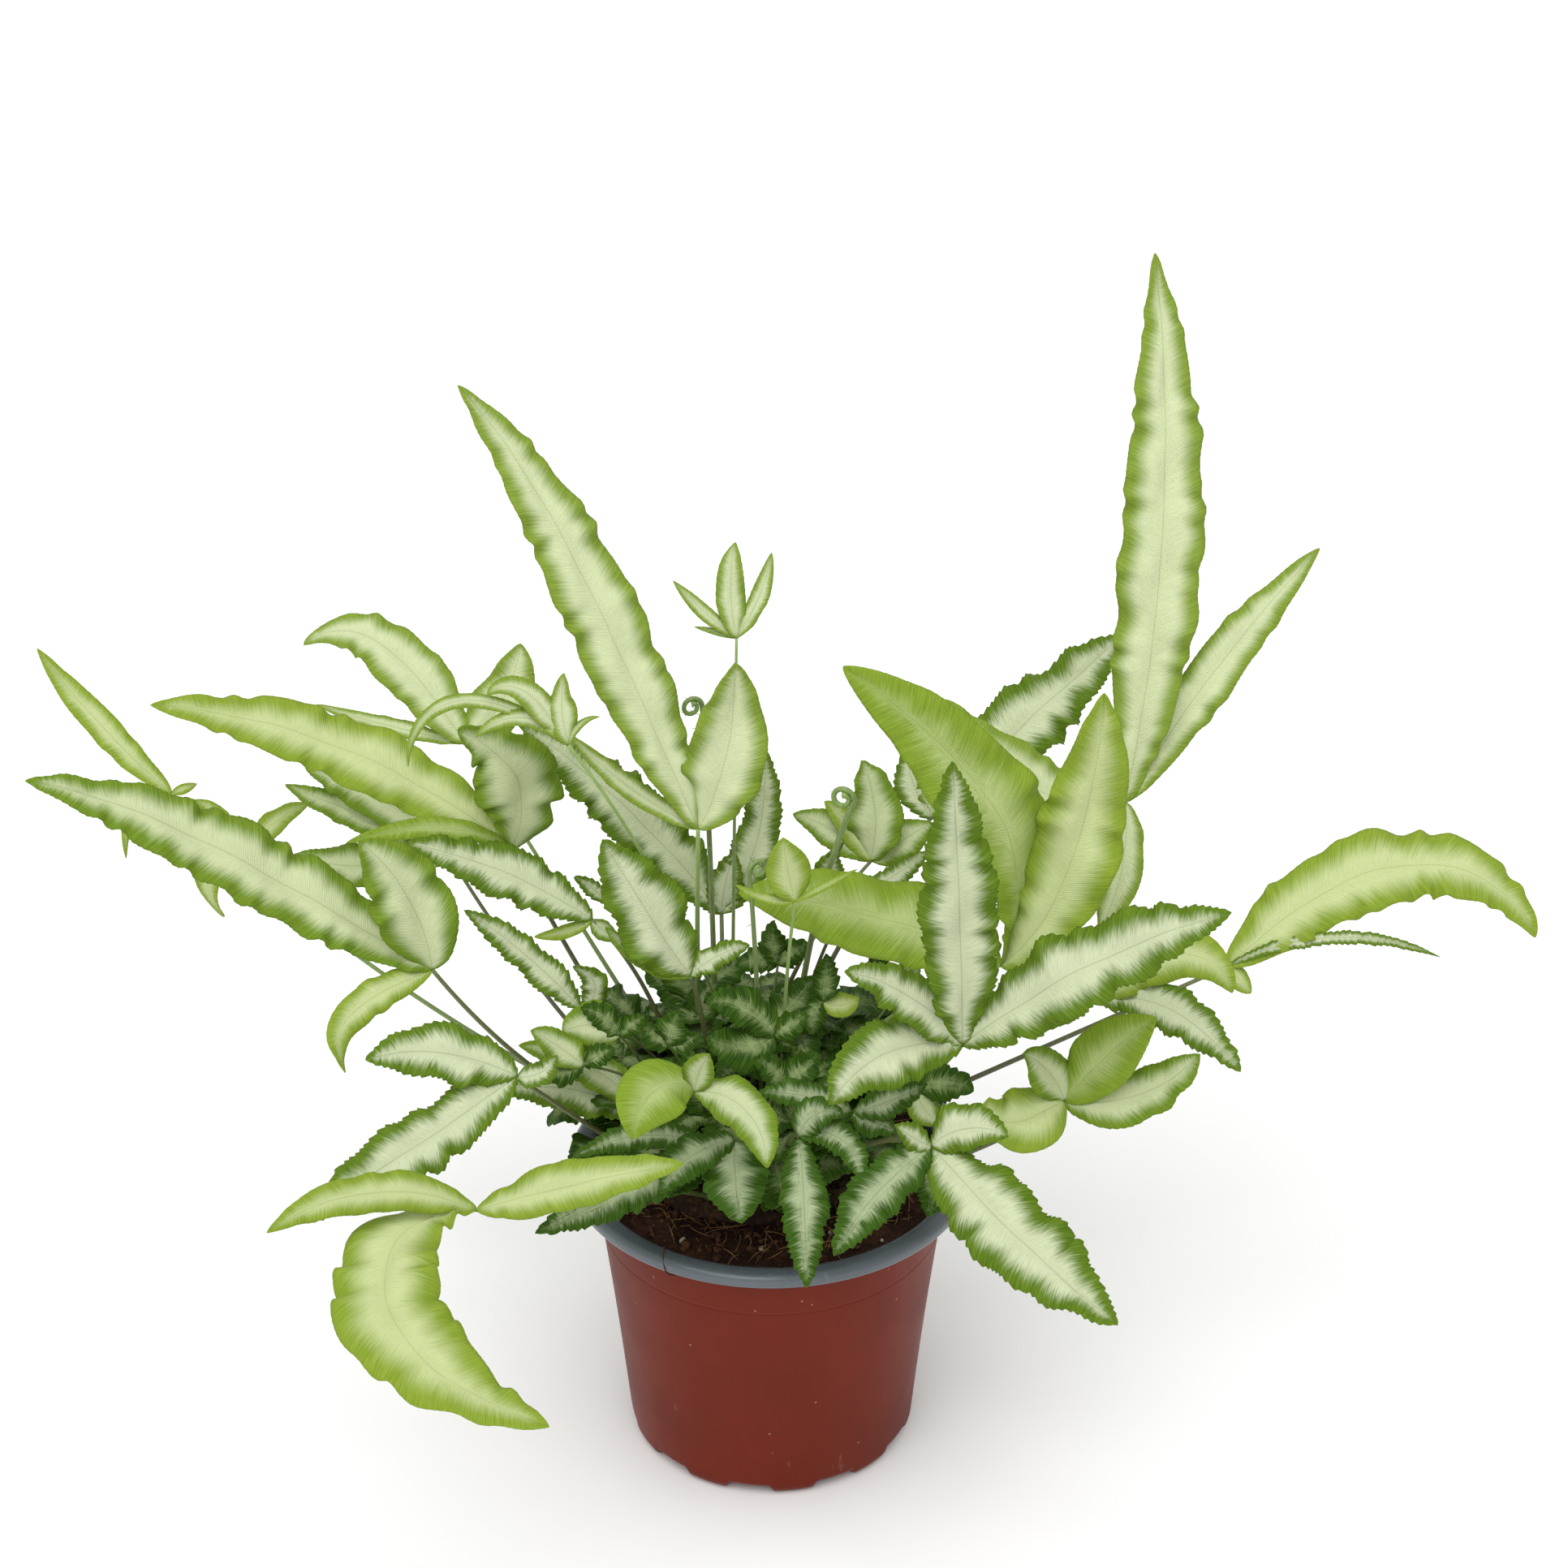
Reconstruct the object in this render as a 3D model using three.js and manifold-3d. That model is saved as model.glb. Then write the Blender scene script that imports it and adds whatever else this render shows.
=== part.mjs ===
// A variegated ribbon fern in a 12 cm nursery pot.
// The pot is one thin moulding with a rolled lip, and it holds the potting mix. The crown, a knot of short
// rhizome, lies on the mix, and every frond is a piece of its own: a wiry stipe that grows out of the crown,
// with a hand of ribbon-shaped pinnae. Millimetres, +Z up, origin where the pot's axis meets the ground.
import * as THREE from "three";
import { mergeVertices } from "three/addons/utils/BufferGeometryUtils.js";
import Module from "manifold-3d";

const wasm = await Module();
wasm.setup();

// Pot
const POT_HEIGHT = 93;
const RIM_RADIUS = 60; // outside of the rolled lip
const LIP_OVERHANG = 7.5; // from the wall's outer face to the outside of the lip
const LIP_HEIGHT = 4.5;
const LIP_ROUND = 2; // radius of the lip's outer edges
const BASE_RADIUS = 43;
const FOOT_ROUND = 4; // radius between the wall and the floor
const WALL = 1.4;
const FLOOR = 2.5;
const WALL_FLARE = 0.2; // share of the wall's widening that comes as a curve towards the top
const POT_SIDES = 40;
const WALL_SHARES = [0.25, 0.5, 0.75, 1]; // shares of the wall's height where its section is drawn
const NOTCH_COUNT = 10; // shallow arches round the foot, where water runs out
const NOTCH_TURN = 9; // degrees from the +X axis to the first arch
const NOTCH_WIDTH = 15;
const NOTCH_HEIGHT = 1.8;
const NOTCH_DEPTH = 8;
const NOTCH_SIDES = 24;
const HOLE_COUNT = 6;
const HOLE_RADIUS = 3.5;
const HOLE_SIDES = 8;
const HOLE_RING = 27; // distance of the drain holes from the axis

// Potting mix and crown
const MIX_BELOW_LIP = 5; // from the pot's top edge down to the mix
const MIX_SHARES = [0, 0.33, 0.67, 1]; // shares of the mix's height where its section is drawn
const GAP = 0.3; // between two pieces that touch
const CROWN_CENTRE = [-6, 6];
const CROWN_RADIUS = 34;
const CROWN_HEIGHT = 9;
const CROWN_EDGE = 1.2; // height of the crown at its border
const CROWN_SIDES = 20;
const CROWN_ANGLES = [0, 15, 35, 60, 90]; // degrees up the dome where its section is drawn

// Fronds
const BLADE_THICKNESS = 0.9; // at the midrib, falling to nothing at the margins
const PETIOLE_WIDTH = 1.4; // narrowest a pinna gets where it leaves the stipe
const LONG_STATIONS = [0, 0.12, 0.32, 0.56, 0.8]; // shares of a pinna's length where its section is drawn
const SHORT_STATIONS = [0, 0.16, 0.45, 0.75];
const TINY_STATIONS = [0, 0.22, 0.62];
const ROOT_REACH = 0.6; // how far a pinna's root reaches back into the stipe
const LINE_STEPS = 36; // small steps that a pinna's line is summed in
const LANCE_SHIFT = 0.85; // below 1, a pinna is widest before its middle
const LANCE_FULLNESS = 0.7; // below 1, its sides are fuller than a sine
const LONG_BEND = 60; // degrees of bend from which a pinna needs more stations
const LONG_LENGTH = 90;
const SHORT_LENGTH = 30;
const JOINT_MERGE = 0.06; // shorter edges are merged where the blades join their stipe
const STIPE_SIDES = 4;
const STIPE_STEPS = 5;
const CROZIER_STEPS = 18;
const CROZIER_SHARE = 0.6; // share of those steps that the coil takes
const COIL_TURNS = 1.25;
const COIL_TIGHTENING = 0.62; // share of its radius that the coil loses on the way in

const MATERIALS = {
  pot: plain("#8c3220", 0.45),
  mix: plain("#3a241b", 1),
  crown: plain("#4a3420", 0.9),
  lime: plain("#a6c552", 0.5),
  mid: plain("#86ac45", 0.5),
  dark: plain("#4f8a2a", 0.55),
};

// One row for each frond: name, stipe radius, foot on the crown in crown radii, hub where the pinnae spread
// (x and y from the pot's axis, z above the mix), and the bow of its stipe (how far out and how
// far up its middle is drawn, as shares of the way to the hub). Then one line for each pinna: tone, place on
// the stipe (1 is the hub), heading and rise of its first stretch, length, droop and turn over that length,
// lateness (above 1, it bends towards the tip), width, and roll of the blade about its midrib. Degrees.
const FRONDS = [
  ["frond_tall_left", 0.8, [-0.47, 0.47], [-21, 25, 102], [0.3, 0.7], [
    ["mid", 1, 144, 61, 145, 15, 20, 3, 19, 35],
    ["mid", 1, 10, 61, 52, -25, 75, 1, 20, -35],
    ["mid", 1, 161, 19, 47, -15, -15, 1, 6, 35],
  ]],
  ["frond_young_top", 0.55, [-0.18, 0.82], [-10, 58, 147], [0.5, 0.5], [
    ["lime", 1, 158, 29, 25, -10, -10, 1, 4, 35],
    ["lime", 1, 119, 63, 28, 0, -55, 1, 8, 5],
    ["lime", 1, 32, 47, 27, -15, 35, 1, 5, -25],
    ["lime", 1, 160, 10, 13, 5, 5, 1, 2, 35],
  ]],
  ["frond_long_dark", 0.8, [-0.24, 0.59], [-15, 52, 57], [0.3, 0.7], [
    ["dark", 1, 146, 43, 85, 15, 15, 1, 17, 35],
    ["dark", 1, 24, 49, 53, -20, 80, 1, 12, -20],
    ["dark", 1, 83, 66, 19, 10, -40, 1, 10, -15],
  ]],
  ["frond_young_left", 0.6, [0.06, 0.41], [-57, 15, 135], [0.4, 0.6], [
    ["lime", 1, 164, 58, 32, 100, 60, 3, 7, 45],
    ["lime", 1, 146, 72, 21, -5, -95, 1, 7, 10],
    ["lime", 1, 46, 72, 13, 65, -55, 1, 2, -40],
    ["lime", 1, 173, 38, 61, 110, 95, 2, 4, 40],
    ["lime", 1, 166, 58, 31, 90, 55, 1, 5, 40],
  ]],
  ["frond_back_left_upper", 0.7, [-0.56, 0.71], [-93, 88, 96], [0.5, 0.5], [
    ["lime", 1, 134, 34, 70, 75, 60, 3, 16, 30],
    ["lime", 1, 156, -2, 54, -5, -5, 1, 5, 35],
    ["lime", 1, 28, 29, 36, -25, 50, 1, 15, -25],
  ]],
  ["frond_left_upper_long", 0.8, [-0.65, 0.12], [-76, 36, 89], [0.5, 0.45], [
    ["mid", 1, 156, 32, 117, 30, 20, 1, 18, 35],
    ["mid", 1, 65, 48, 47, -125, -95, 1, 23, -85],
    ["mid", 1, 175, 46, 50, 55, 25, 0.5, 6, 40],
  ]],
  ["frond_left_behind", 0.7, [-0.82, 0.35], [-101, 82, 64], [0.6, 0.35], [
    ["mid", 1, 145, 26, 52, 20, 15, 1, 13, 35],
    ["mid", 1, 156, 6, 56, -5, 0, 1, 10, 35],
    ["mid", 1, 170, -33, 56, -35, -20, 1, 14, 40],
  ]],
  ["frond_left_mid", 0.8, [-0.71, -0.12], [-96, -10, 76], [0.6, 0.35], [
    ["mid", 1, 175, 33, 126, 20, 10, 3, 19, 40],
    ["mid", 1, 161, 86, 47, 40, 30, 1, 20, 60],
    ["lime", 1, -151, -9, 46, 45, 115, 3, 9, 30],
  ]],
  ["frond_far_left", 0.7, [-0.88, 0.18], [-179, 62, 93], [0.62, 0.35], [
    ["lime", 1, 154, 32, 60, -10, -10, 1, 8, 35],
    ["lime", 1, 22, 12, 8, 0, 0, 1, 3, -35],
    ["lime", 1, 122, 42, 30, 125, 155, 0.5, 3, 25],
    ["lime", 0.85, -133, -4, 26, 170, -115, 1, 7, 85],
    ["lime", 0.85, 99, 67, 21, 55, 85, 1, 5, 30],
    ["lime", 0.82, 46, 50, 27, 35, -35, 1, 7, -35],
  ]],
  ["frond_left_low_dark", 0.8, [-0.76, -0.41], [-71, -36, 57], [0.5, 0.45], [
    ["dark", 1, 178, 33, 44, 40, 20, 1, 15, 40],
    ["dark", 1, -142, -16, 75, -5, 0, 1, 16, 30],
    ["dark", 1, -20, 2, 15, -65, 30, 1, 7, -45],
  ]],
  ["frond_front_left", 0.8, [-0.35, -0.82], [-80, -76, 40], [0.45, 0.75], [
    ["lime", 1, -172, 34, 62, 50, 30, 1, 10, 40],
    ["lime", 1, 157, 9, 117, 20, 190, 0.5, 25, -10],
    ["lime", 1, -16, 28, 67, 5, -5, 1, 12, -45],
  ]],
  ["frond_left_front_dark", 0.7, [-0.18, -0.76], [-16, -41, 37], [0.3, 0.7], [
    ["dark", 1, -151, -13, 57, -5, 0, 1, 12, 35],
    ["dark", 1, -180, 25, 42, 45, 25, 1, 7, 40],
  ]],
  ["frond_mid_left_wavy", 0.7, [-0.53, 0.29], [-52, 19, 75], [0.3, 0.7], [
    ["dark", 1, 164, 31, 59, 20, 15, 1, 14, 40],
    ["lime", 1, -170, -30, 18, -25, -15, 1, 4, 40],
    ["mid", 1, -26, -51, 10, -40, 25, 1, 5, -40],
  ]],
  ["frond_lower_left_twist", 0.6, [-0.41, 0], [-55, 2, 55], [0.3, 0.7], [
    ["dark", 1, 164, 49, 45, 15, 10, 1, 9, 45],
    ["dark", 1, 14, 23, 19, -150, -20, 1, 7, -85],
  ]],
  ["frond_centre_left", 0.8, [-0.29, -0.12], [-23, -4, 70], [0.3, 0.7], [
    ["dark", 1, 168, 57, 49, -5, 0, 1, 19, 50],
    ["mid", 1, -176, 17, 29, -30, -20, 1, 6, 40],
    ["dark", 1, 14, 45, 20, 30, -20, 1, 7, -40],
  ]],
  ["frond_small_left_back", 0.55, [-0.44, 0.65], [-50, 58, 57], [0.3, 0.7], [
    ["dark", 1, 140, 45, 13, 30, 25, 1, 5, 35],
    ["dark", 1, 16, 14, 13, -15, 15, 1, 6, -35],
  ]],
  ["frond_young_centre", 0.6, [0.24, -0.35], [7, -14, 101], [0.3, 0.7], [
    ["lime", 1, 161, 74, 20, -10, -15, 1, 11, 55],
    ["lime", 1, 1, 31, 20, 0, 0, 1, 2, -45],
    ["lime", 1, -171, 4, 18, -30, -15, 1, 3, 40],
  ]],
  ["frond_centre_right_dark", 0.8, [0.53, -0.35], [53, -46, 74], [0.3, 0.7], [
    ["dark", 1, 60, 94, 95, -5, 0, 1, 18, -35],
    ["dark", 1, -4, 45, 87, 20, -10, 1, 20, -45],
    ["dark", 1, -164, 23, 48, 50, 40, 1, 17, 35],
    ["dark", 1, 179, 57, 44, 35, 20, 1, 13, 50],
  ]],
  ["frond_centre_right_lime", 0.8, [0.41, 0.12], [66, 2, 70], [0.3, 0.7], [
    ["lime", 1, 167, 33, 79, 25, 15, 0.5, 22, 40],
    ["lime", 1, 68, 34, 113, -125, -100, 0.5, 24, -120],
    ["lime", 1, -21, 36, 90, -50, 80, 0.5, 22, -40],
  ]],
  ["frond_tall_right", 0.8, [0.65, 0.47], [104, 46, 99], [0.3, 0.7], [
    ["lime", 1, 61, 65, 161, 0, 45, 1, 21, -5],
    ["lime", 1, 36, 50, 94, 10, -10, 1, 13, -35],
    ["mid", 1, -179, -7, 65, -60, -45, 1, 19, 35],
    ["lime", 1, -76, -67, 40, -10, -75, 1, 11, 15],
  ]],
  ["frond_back_right_dark", 0.8, [0.24, 0.76], [49, 84, 72], [0.3, 0.7], [
    ["dark", 1, 37, 32, 86, 5, -5, 1, 21, -30],
    ["dark", 1, 143, 40, 23, -20, -45, 1, 10, 20],
    ["mid", 1, 67, 56, 21, 5, 60, 1, 9, 5],
  ]],
  ["frond_centre_back", 0.7, [0, 0.71], [30, 58, 72], [0.3, 0.7], [
    ["mid", 1, 59, 64, 31, 5, 85, 1, 15, 5],
    ["mid", 1, 147, 35, 28, 25, 20, 1, 10, 35],
    ["lime", 1, 133, 52, 23, 20, 25, 1, 8, 30],
    ["mid", 1, 25, 26, 22, 5, -5, 1, 11, -35],
  ]],
  ["frond_centre_back_small", 0.6, [0.29, 0.41], [23, 24, 78], [0.3, 0.7], [
    ["dark", 1, 149, 16, 23, -140, 75, 1, 8, 80],
    ["dark", 1, 12, 27, 28, -5, 5, 1, 7, -40],
    ["dark", 1, -169, -17, 16, -75, -45, 1, 7, 40],
  ]],
  ["frond_far_right", 0.8, [0.82, 0.06], [135, 30, 52], [0.5, 0.5], [
    ["lime", 1, 28, 31, 113, 95, -60, 2, 21, -35],
    ["dark", 1, 12, 26, 65, 45, -25, 1, 4, -40],
    ["lime", 1, 157, 22, 12, 50, 30, 1, 5, 40],
    ["lime", 1, -16, -42, 11, 5, -5, 1, 6, -40],
  ]],
  ["frond_right_mid", 0.7, [0.76, -0.18], [91, -14, 68], [0.3, 0.7], [
    ["lime", 1, 18, 40, 49, 105, -70, 2, 14, -40],
    ["dark", 1, 7, 37, 50, 75, -50, 0.5, 12, -35],
    ["mid", 1, -177, 2, 23, 40, 25, 1, 10, 35],
  ]],
  ["frond_right_low", 0.8, [0.74, -0.59], [82, -42, 53], [0.6, 0.35], [
    ["lime", 1, -147, -10, 30, -120, -60, 3, 17, 35],
    ["mid", 1, -22, 2, 43, -50, 30, 1, 14, -40],
    ["mid", 1, -4, 58, 38, 15, -5, 1, 16, -55],
    ["mid", 1, 174, 76, 21, 45, 20, 1, 12, 55],
  ]],
  ["frond_front_right", 0.8, [0.59, -0.76], [44, -70, 57], [0.3, 0.7], [
    ["dark", 1, -57, -13, 80, -10, 5, 1, 20, -25],
    ["dark", 1, -136, -4, 47, 15, 20, 1, 13, 25],
    ["dark", 1, 1, 52, 24, 65, -35, 1, 12, -40],
    ["dark", 1, -161, 31, 14, -20, -5, 1, 7, 50],
  ]],
  ["frond_front_centre_droop", 0.6, [0.24, -0.82], [8, -60, 53], [0.3, 0.7], [
    ["dark", 1, -85, -26, 46, 0, -5, 1, 11, 0],
    ["dark", 1, -9, 37, 29, 90, -75, 1, 8, -30],
    ["dark", 1, 4, 86, 18, 95, -35, 1, 9, -50],
  ]],
  ["frond_front_centre_arch", 0.6, [-0.06, -0.71], [-21, -48, 60], [0.3, 0.7], [
    ["mid", 1, -18, 15, 37, 55, -70, 1, 12, -25],
    ["lime", 1, 171, 75, 32, 115, 90, 0.5, 17, 25],
    ["mid", 1, 165, 96, 14, -25, 0, 1, 8, 95],
  ]],
  ["frond_front_shade", 0.6, [0.12, -0.94], [-10, -44, 41], [0.3, 0.7], [
    ["dark", 1, -92, -32, 25, 0, 15, 1, 16, -5],
    ["dark", 1, -157, 10, 29, 40, 40, 1, 11, 30],
  ]],
  ["frond_front_small_right", 0.6, [0.47, -0.65], [23, -42, 49], [0.3, 0.7], [
    ["dark", 1, -178, 32, 29, 25, 15, 1, 8, 40],
    ["dark", 1, -29, -4, 14, 5, -5, 1, 9, -35],
    ["dark", 1, -11, 22, 24, -15, 5, 1, 8, -45],
  ]],
  ["frond_left_front_wavy", 0.6, [-0.47, -0.53], [-38, -19, 33], [0.3, 0.7], [
    ["dark", 1, 172, 30, 42, 35, 20, 1, 12, 40],
    ["mid", 1, 158, 76, 43, 60, 35, 0.5, 10, 45],
  ]],
  ["small_left_serrated", 0.5, [-0.71, -0.24], [-43, -14, 56], [0.3, 0.7], [
    ["mid", 1, 174, 42, 18, 60, 35, 1, 12, 40],
    ["dark", 1, 163, 60, 15, 40, 25, 1, 7, 45],
    ["dark", 1, 6, 47, 10, 5, 0, 1, 6, -45],
  ]],
  ["small_left_low", 0.5, [-0.47, -0.24], [-53, -26, 54], [0.3, 0.7], [
    ["mid", 1, 177, 48, 19, 15, 10, 1, 9, 45],
    ["dark", 1, -156, -5, 16, -25, -15, 1, 8, 40],
    ["dark", 1, 2, 41, 11, 15, -5, 1, 6, -45],
  ]],
  ["small_trefoil", 0.5, [-0.35, -0.41], [-29, -16, 54], [0.3, 0.7], [
    ["dark", 1, -179, 36, 11, -15, -10, 1, 7, 45],
    ["dark", 1, -149, 96, 12, -20, -15, 1, 8, 130],
    ["dark", 1, -3, 19, 10, -10, 5, 1, 7, -40],
  ]],
  ["small_centre_broad", 0.5, [-0.12, -0.41], [1, -20, 60], [0.3, 0.7], [
    ["dark", 1, -150, -19, 21, -55, -30, 1, 13, 40],
    ["dark", 1, 159, 63, 24, 65, 40, 1, 11, 45],
    ["dark", 1, 0, 37, 12, -5, 0, 1, 7, -45],
  ]],
  ["small_centre_back", 0.5, [0.12, 0.06], [2, 18, 60], [0.3, 0.7], [
    ["dark", 1, 152, 68, 14, -10, -100, 1, 7, 15],
    ["dark", 1, 165, 16, 13, 40, 20, 1, 7, 40],
    ["dark", 1, 23, 46, 12, 35, -20, 1, 7, -40],
  ]],
  ["small_centre_right", 0.5, [0.41, -0.18], [15, 0, 59], [0.3, 0.7], [
    ["dark", 1, 42, 75, 15, -10, 60, 1, 7, -15],
    ["lime", 1, -15, -23, 11, -60, 30, 1, 7, -40],
    ["dark", 1, -159, -30, 11, 30, 100, 1, 7, 15],
  ]],
  ["small_right_back", 0.5, [0.53, 0.24], [36, 30, 45], [0.3, 0.7], [
    ["dark", 1, 165, 41, 13, -30, -35, 1, 7, 35],
    ["mid", 1, 26, 41, 10, 30, -20, 1, 7, -35],
  ]],
  ["small_right_under", 0.5, [0.71, -0.41], [42, -18, 40], [0.3, 0.7], [
    ["dark", 1, 11, 30, 17, 55, -30, 1, 10, -40],
    ["dark", 1, 164, 45, 14, 60, 35, 1, 8, 40],
    ["mid", 1, -74, -49, 12, -35, 50, 1, 8, -25],
  ]],
  ["small_front_right_rim", 0.5, [0.68, -0.76], [44, -36, 26], [0.3, 0.7], [
    ["dark", 1, -50, -34, 15, 5, -80, 1, 9, 0],
    ["dark", 1, -158, 1, 15, 30, 25, 1, 7, 30],
  ]],
  ["small_centre_front", 0.5, [0.06, -0.53], [4, -31, 50], [0.3, 0.7], [
    ["dark", 1, 169, 70, 14, 45, 25, 1, 8, 50],
    ["dark", 1, 1, 53, 15, 10, -5, 1, 9, -50],
    ["dark", 1, -21, 6, 17, -25, 10, 1, 7, -40],
  ]],
  ["small_left_inner", 0.5, [-0.24, -0.59], [-25, -30, 52], [0.3, 0.7], [
    ["dark", 1, -177, 42, 14, 50, 25, 1, 7, 40],
    ["dark", 1, 2, 71, 10, 0, 0, 1, 6, -65],
  ]],
  ["small_right_behind", 0.5, [0.59, -0.06], [55, 8, 55], [0.3, 0.7], [
    ["dark", 1, 174, 37, 14, -30, -20, 1, 6, 45],
    ["dark", 1, 15, 41, 11, 15, -10, 1, 6, -40],
  ]],];

// Young fronds that are still coiled: name, stem radius, foot, top of the stem (measured as a hub is), bow,
// heading of the coil, and its radius.
const CROZIERS = [
  ["fiddlehead_left", 0.8, [-0.3, 0.6], [-20, 50, 129], [0.3, 0.7], 200, 3.2],
  ["fiddlehead_centre", 0.9, [0.3, 0.25], [24, 22, 113], [0.3, 0.7], 160, 3.6],
  ["fiddlehead_young", 0.7, [0.1, -0.3], [-6, -8, 107], [0.3, 0.7], 30, 3],
];

function plain(color, roughness) {
  return new THREE.MeshStandardMaterial({ color, roughness, metalness: 0 });
}

// A closed three.js geometry as a solid that can be joined and cut.
function solid(geometry) {
  const g = geometry.clone();
  g.deleteAttribute("normal");
  g.deleteAttribute("uv");
  const merged = mergeVertices(g, 1e-4);
  return new wasm.Manifold(
    new wasm.Mesh({
      numProp: 3,
      vertProperties: new Float32Array(merged.attributes.position.array),
      triVerts: new Uint32Array(merged.index.array),
    }),
  );
}

function geometryOf(manifold) {
  const m = manifold.getMesh();
  const g = new THREE.BufferGeometry();
  g.setAttribute("position", new THREE.BufferAttribute(new Float32Array(m.vertProperties), 3));
  g.setIndex(new THREE.BufferAttribute(new Uint32Array(m.triVerts), 1));
  return g;
}

function piece(name, manifold, material, place = [0, 0, 0]) {
  const geometry = geometryOf(manifold);
  geometry.translate(-place[0], -place[1], -place[2]);
  const mesh = new THREE.Mesh(geometry, material);
  mesh.name = name;
  mesh.position.set(...place);
  return mesh;
}

// A solid of revolution about +Z from [radius, height] points that run up the outside.
function turned(profile, sides) {
  const points = profile.map(([r, z]) => new THREE.Vector2(r, z));
  return solid(new THREE.LatheGeometry(points, sides).rotateX(Math.PI / 2));
}

// Points of an arc round (r, z), from one angle to another in degrees.
function arc(r, z, radius, from, to, steps = 4) {
  return Array.from({ length: steps + 1 }, (_, i) => {
    const a = THREE.MathUtils.degToRad(from + ((to - from) * i) / steps);
    return [r + radius * Math.cos(a), z + radius * Math.sin(a)];
  });
}

const WALL_TOP = POT_HEIGHT - LIP_HEIGHT;
const WALL_TOP_RADIUS = RIM_RADIUS - LIP_OVERHANG;
const MIX_TOP = POT_HEIGHT - MIX_BELOW_LIP;

// Radius of the pot's outer face at height z.
function wallRadius(z) {
  const u = (z - FOOT_ROUND) / (WALL_TOP - FOOT_ROUND);
  return BASE_RADIUS + (WALL_TOP_RADIUS - BASE_RADIUS) * u * (1 - WALL_FLARE + WALL_FLARE * u);
}

function makePot() {
  const heights = WALL_SHARES.map((u) => FOOT_ROUND + (WALL_TOP - FOOT_ROUND) * u);
  const outside = [
    [0, 0],
    ...arc(BASE_RADIUS - FOOT_ROUND, FOOT_ROUND, FOOT_ROUND, -90, 0, 3),
    ...heights.map((z) => [wallRadius(z), z]),
    ...arc(RIM_RADIUS - LIP_ROUND, WALL_TOP + LIP_ROUND, LIP_ROUND, -90, 0, 3),
    ...arc(RIM_RADIUS - LIP_ROUND, POT_HEIGHT - LIP_ROUND, LIP_ROUND, 0, 90, 3),
  ];
  const inside = [
    [WALL_TOP_RADIUS + WALL, POT_HEIGHT],
    [WALL_TOP_RADIUS - WALL, POT_HEIGHT - LIP_ROUND],
    ...heights.toReversed().map((z) => [wallRadius(z) - WALL, z]),
    [BASE_RADIUS - WALL, FOOT_ROUND],
    [BASE_RADIUS - FOOT_ROUND, FLOOR],
    [0, FLOOR],
  ];
  let pot = turned([...outside, ...inside], POT_SIDES);
  // An arch as wide and as high as the notch: a cylinder that lies along the radius, below the ground.
  const archRadius = (NOTCH_WIDTH ** 2 / 4 + NOTCH_HEIGHT ** 2) / (2 * NOTCH_HEIGHT);
  for (let i = 0; i < NOTCH_COUNT; i++) {
    const arch = new THREE.CylinderGeometry(archRadius, archRadius, NOTCH_DEPTH * 2, NOTCH_SIDES);
    arch.rotateZ(Math.PI / 2).translate(BASE_RADIUS, 0, NOTCH_HEIGHT - archRadius);
    arch.rotateZ(THREE.MathUtils.degToRad(NOTCH_TURN) + (i / NOTCH_COUNT) * 2 * Math.PI);
    pot = pot.subtract(solid(arch));
  }
  for (let i = 0; i < HOLE_COUNT; i++) {
    const hole = new THREE.CylinderGeometry(HOLE_RADIUS, HOLE_RADIUS, FLOOR * 4, HOLE_SIDES);
    hole.rotateX(Math.PI / 2).translate(HOLE_RING, 0, 0);
    hole.rotateZ((i / HOLE_COUNT) * 2 * Math.PI);
    pot = pot.subtract(solid(hole));
  }
  return pot;
}

function makeMix() {
  const low = FOOT_ROUND + GAP;
  const sides = MIX_SHARES.map((u) => low + (MIX_TOP - low) * u);
  return turned(
    [
      [0, FLOOR + GAP],
      [BASE_RADIUS - FOOT_ROUND - GAP, FLOOR + GAP],
      ...sides.map((z) => [wallRadius(z) - WALL - 2 * GAP, z]),
      [0, MIX_TOP],
    ],
    POT_SIDES,
  );
}

// Height of the crown's top over the point (x, y).
function crownTop(x, y) {
  const d = Math.hypot(x - CROWN_CENTRE[0], y - CROWN_CENTRE[1]) / CROWN_RADIUS;
  const dome = (CROWN_HEIGHT - CROWN_EDGE) * Math.sqrt(Math.max(0, 1 - d * d));
  return MIX_TOP + GAP + CROWN_EDGE + dome;
}

function makeCrown() {
  const rings = CROWN_ANGLES.map((a) => THREE.MathUtils.degToRad(a));
  const dome = rings.map((a) => [
    a === Math.PI / 2 ? 0 : CROWN_RADIUS * Math.cos(a),
    CROWN_EDGE + (CROWN_HEIGHT - CROWN_EDGE) * Math.sin(a),
  ]);
  const profile = [[0, 0], [CROWN_RADIUS - CROWN_EDGE, 0], ...dome];
  return turned(profile, CROWN_SIDES).translate([...CROWN_CENTRE, MIX_TOP + GAP]);
}

// The line of a stipe: a quadratic curve from its foot on the crown to its hub.
function stipeCurve(radius, footShare, hub, bow) {
  const x = CROWN_CENTRE[0] + footShare[0] * CROWN_RADIUS;
  const y = CROWN_CENTRE[1] + footShare[1] * CROWN_RADIUS;
  const top = new THREE.Vector3(hub[0], hub[1], hub[2] + MIX_TOP);
  const foot = new THREE.Vector3(x, y, crownTop(x, y) + GAP);
  const bend = (out, up) =>
    new THREE.Vector3(
      THREE.MathUtils.lerp(foot.x, top.x, out),
      THREE.MathUtils.lerp(foot.y, top.y, out),
      THREE.MathUtils.lerp(foot.z, top.z, up),
    );
  const slope = bend(...bow).sub(foot).normalize();
  foot.z += radius * Math.hypot(slope.x, slope.y); // the low edge of the cut end stays clear of the crown
  return new THREE.QuadraticBezierCurve3(foot, bend(...bow), top);
}

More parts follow.
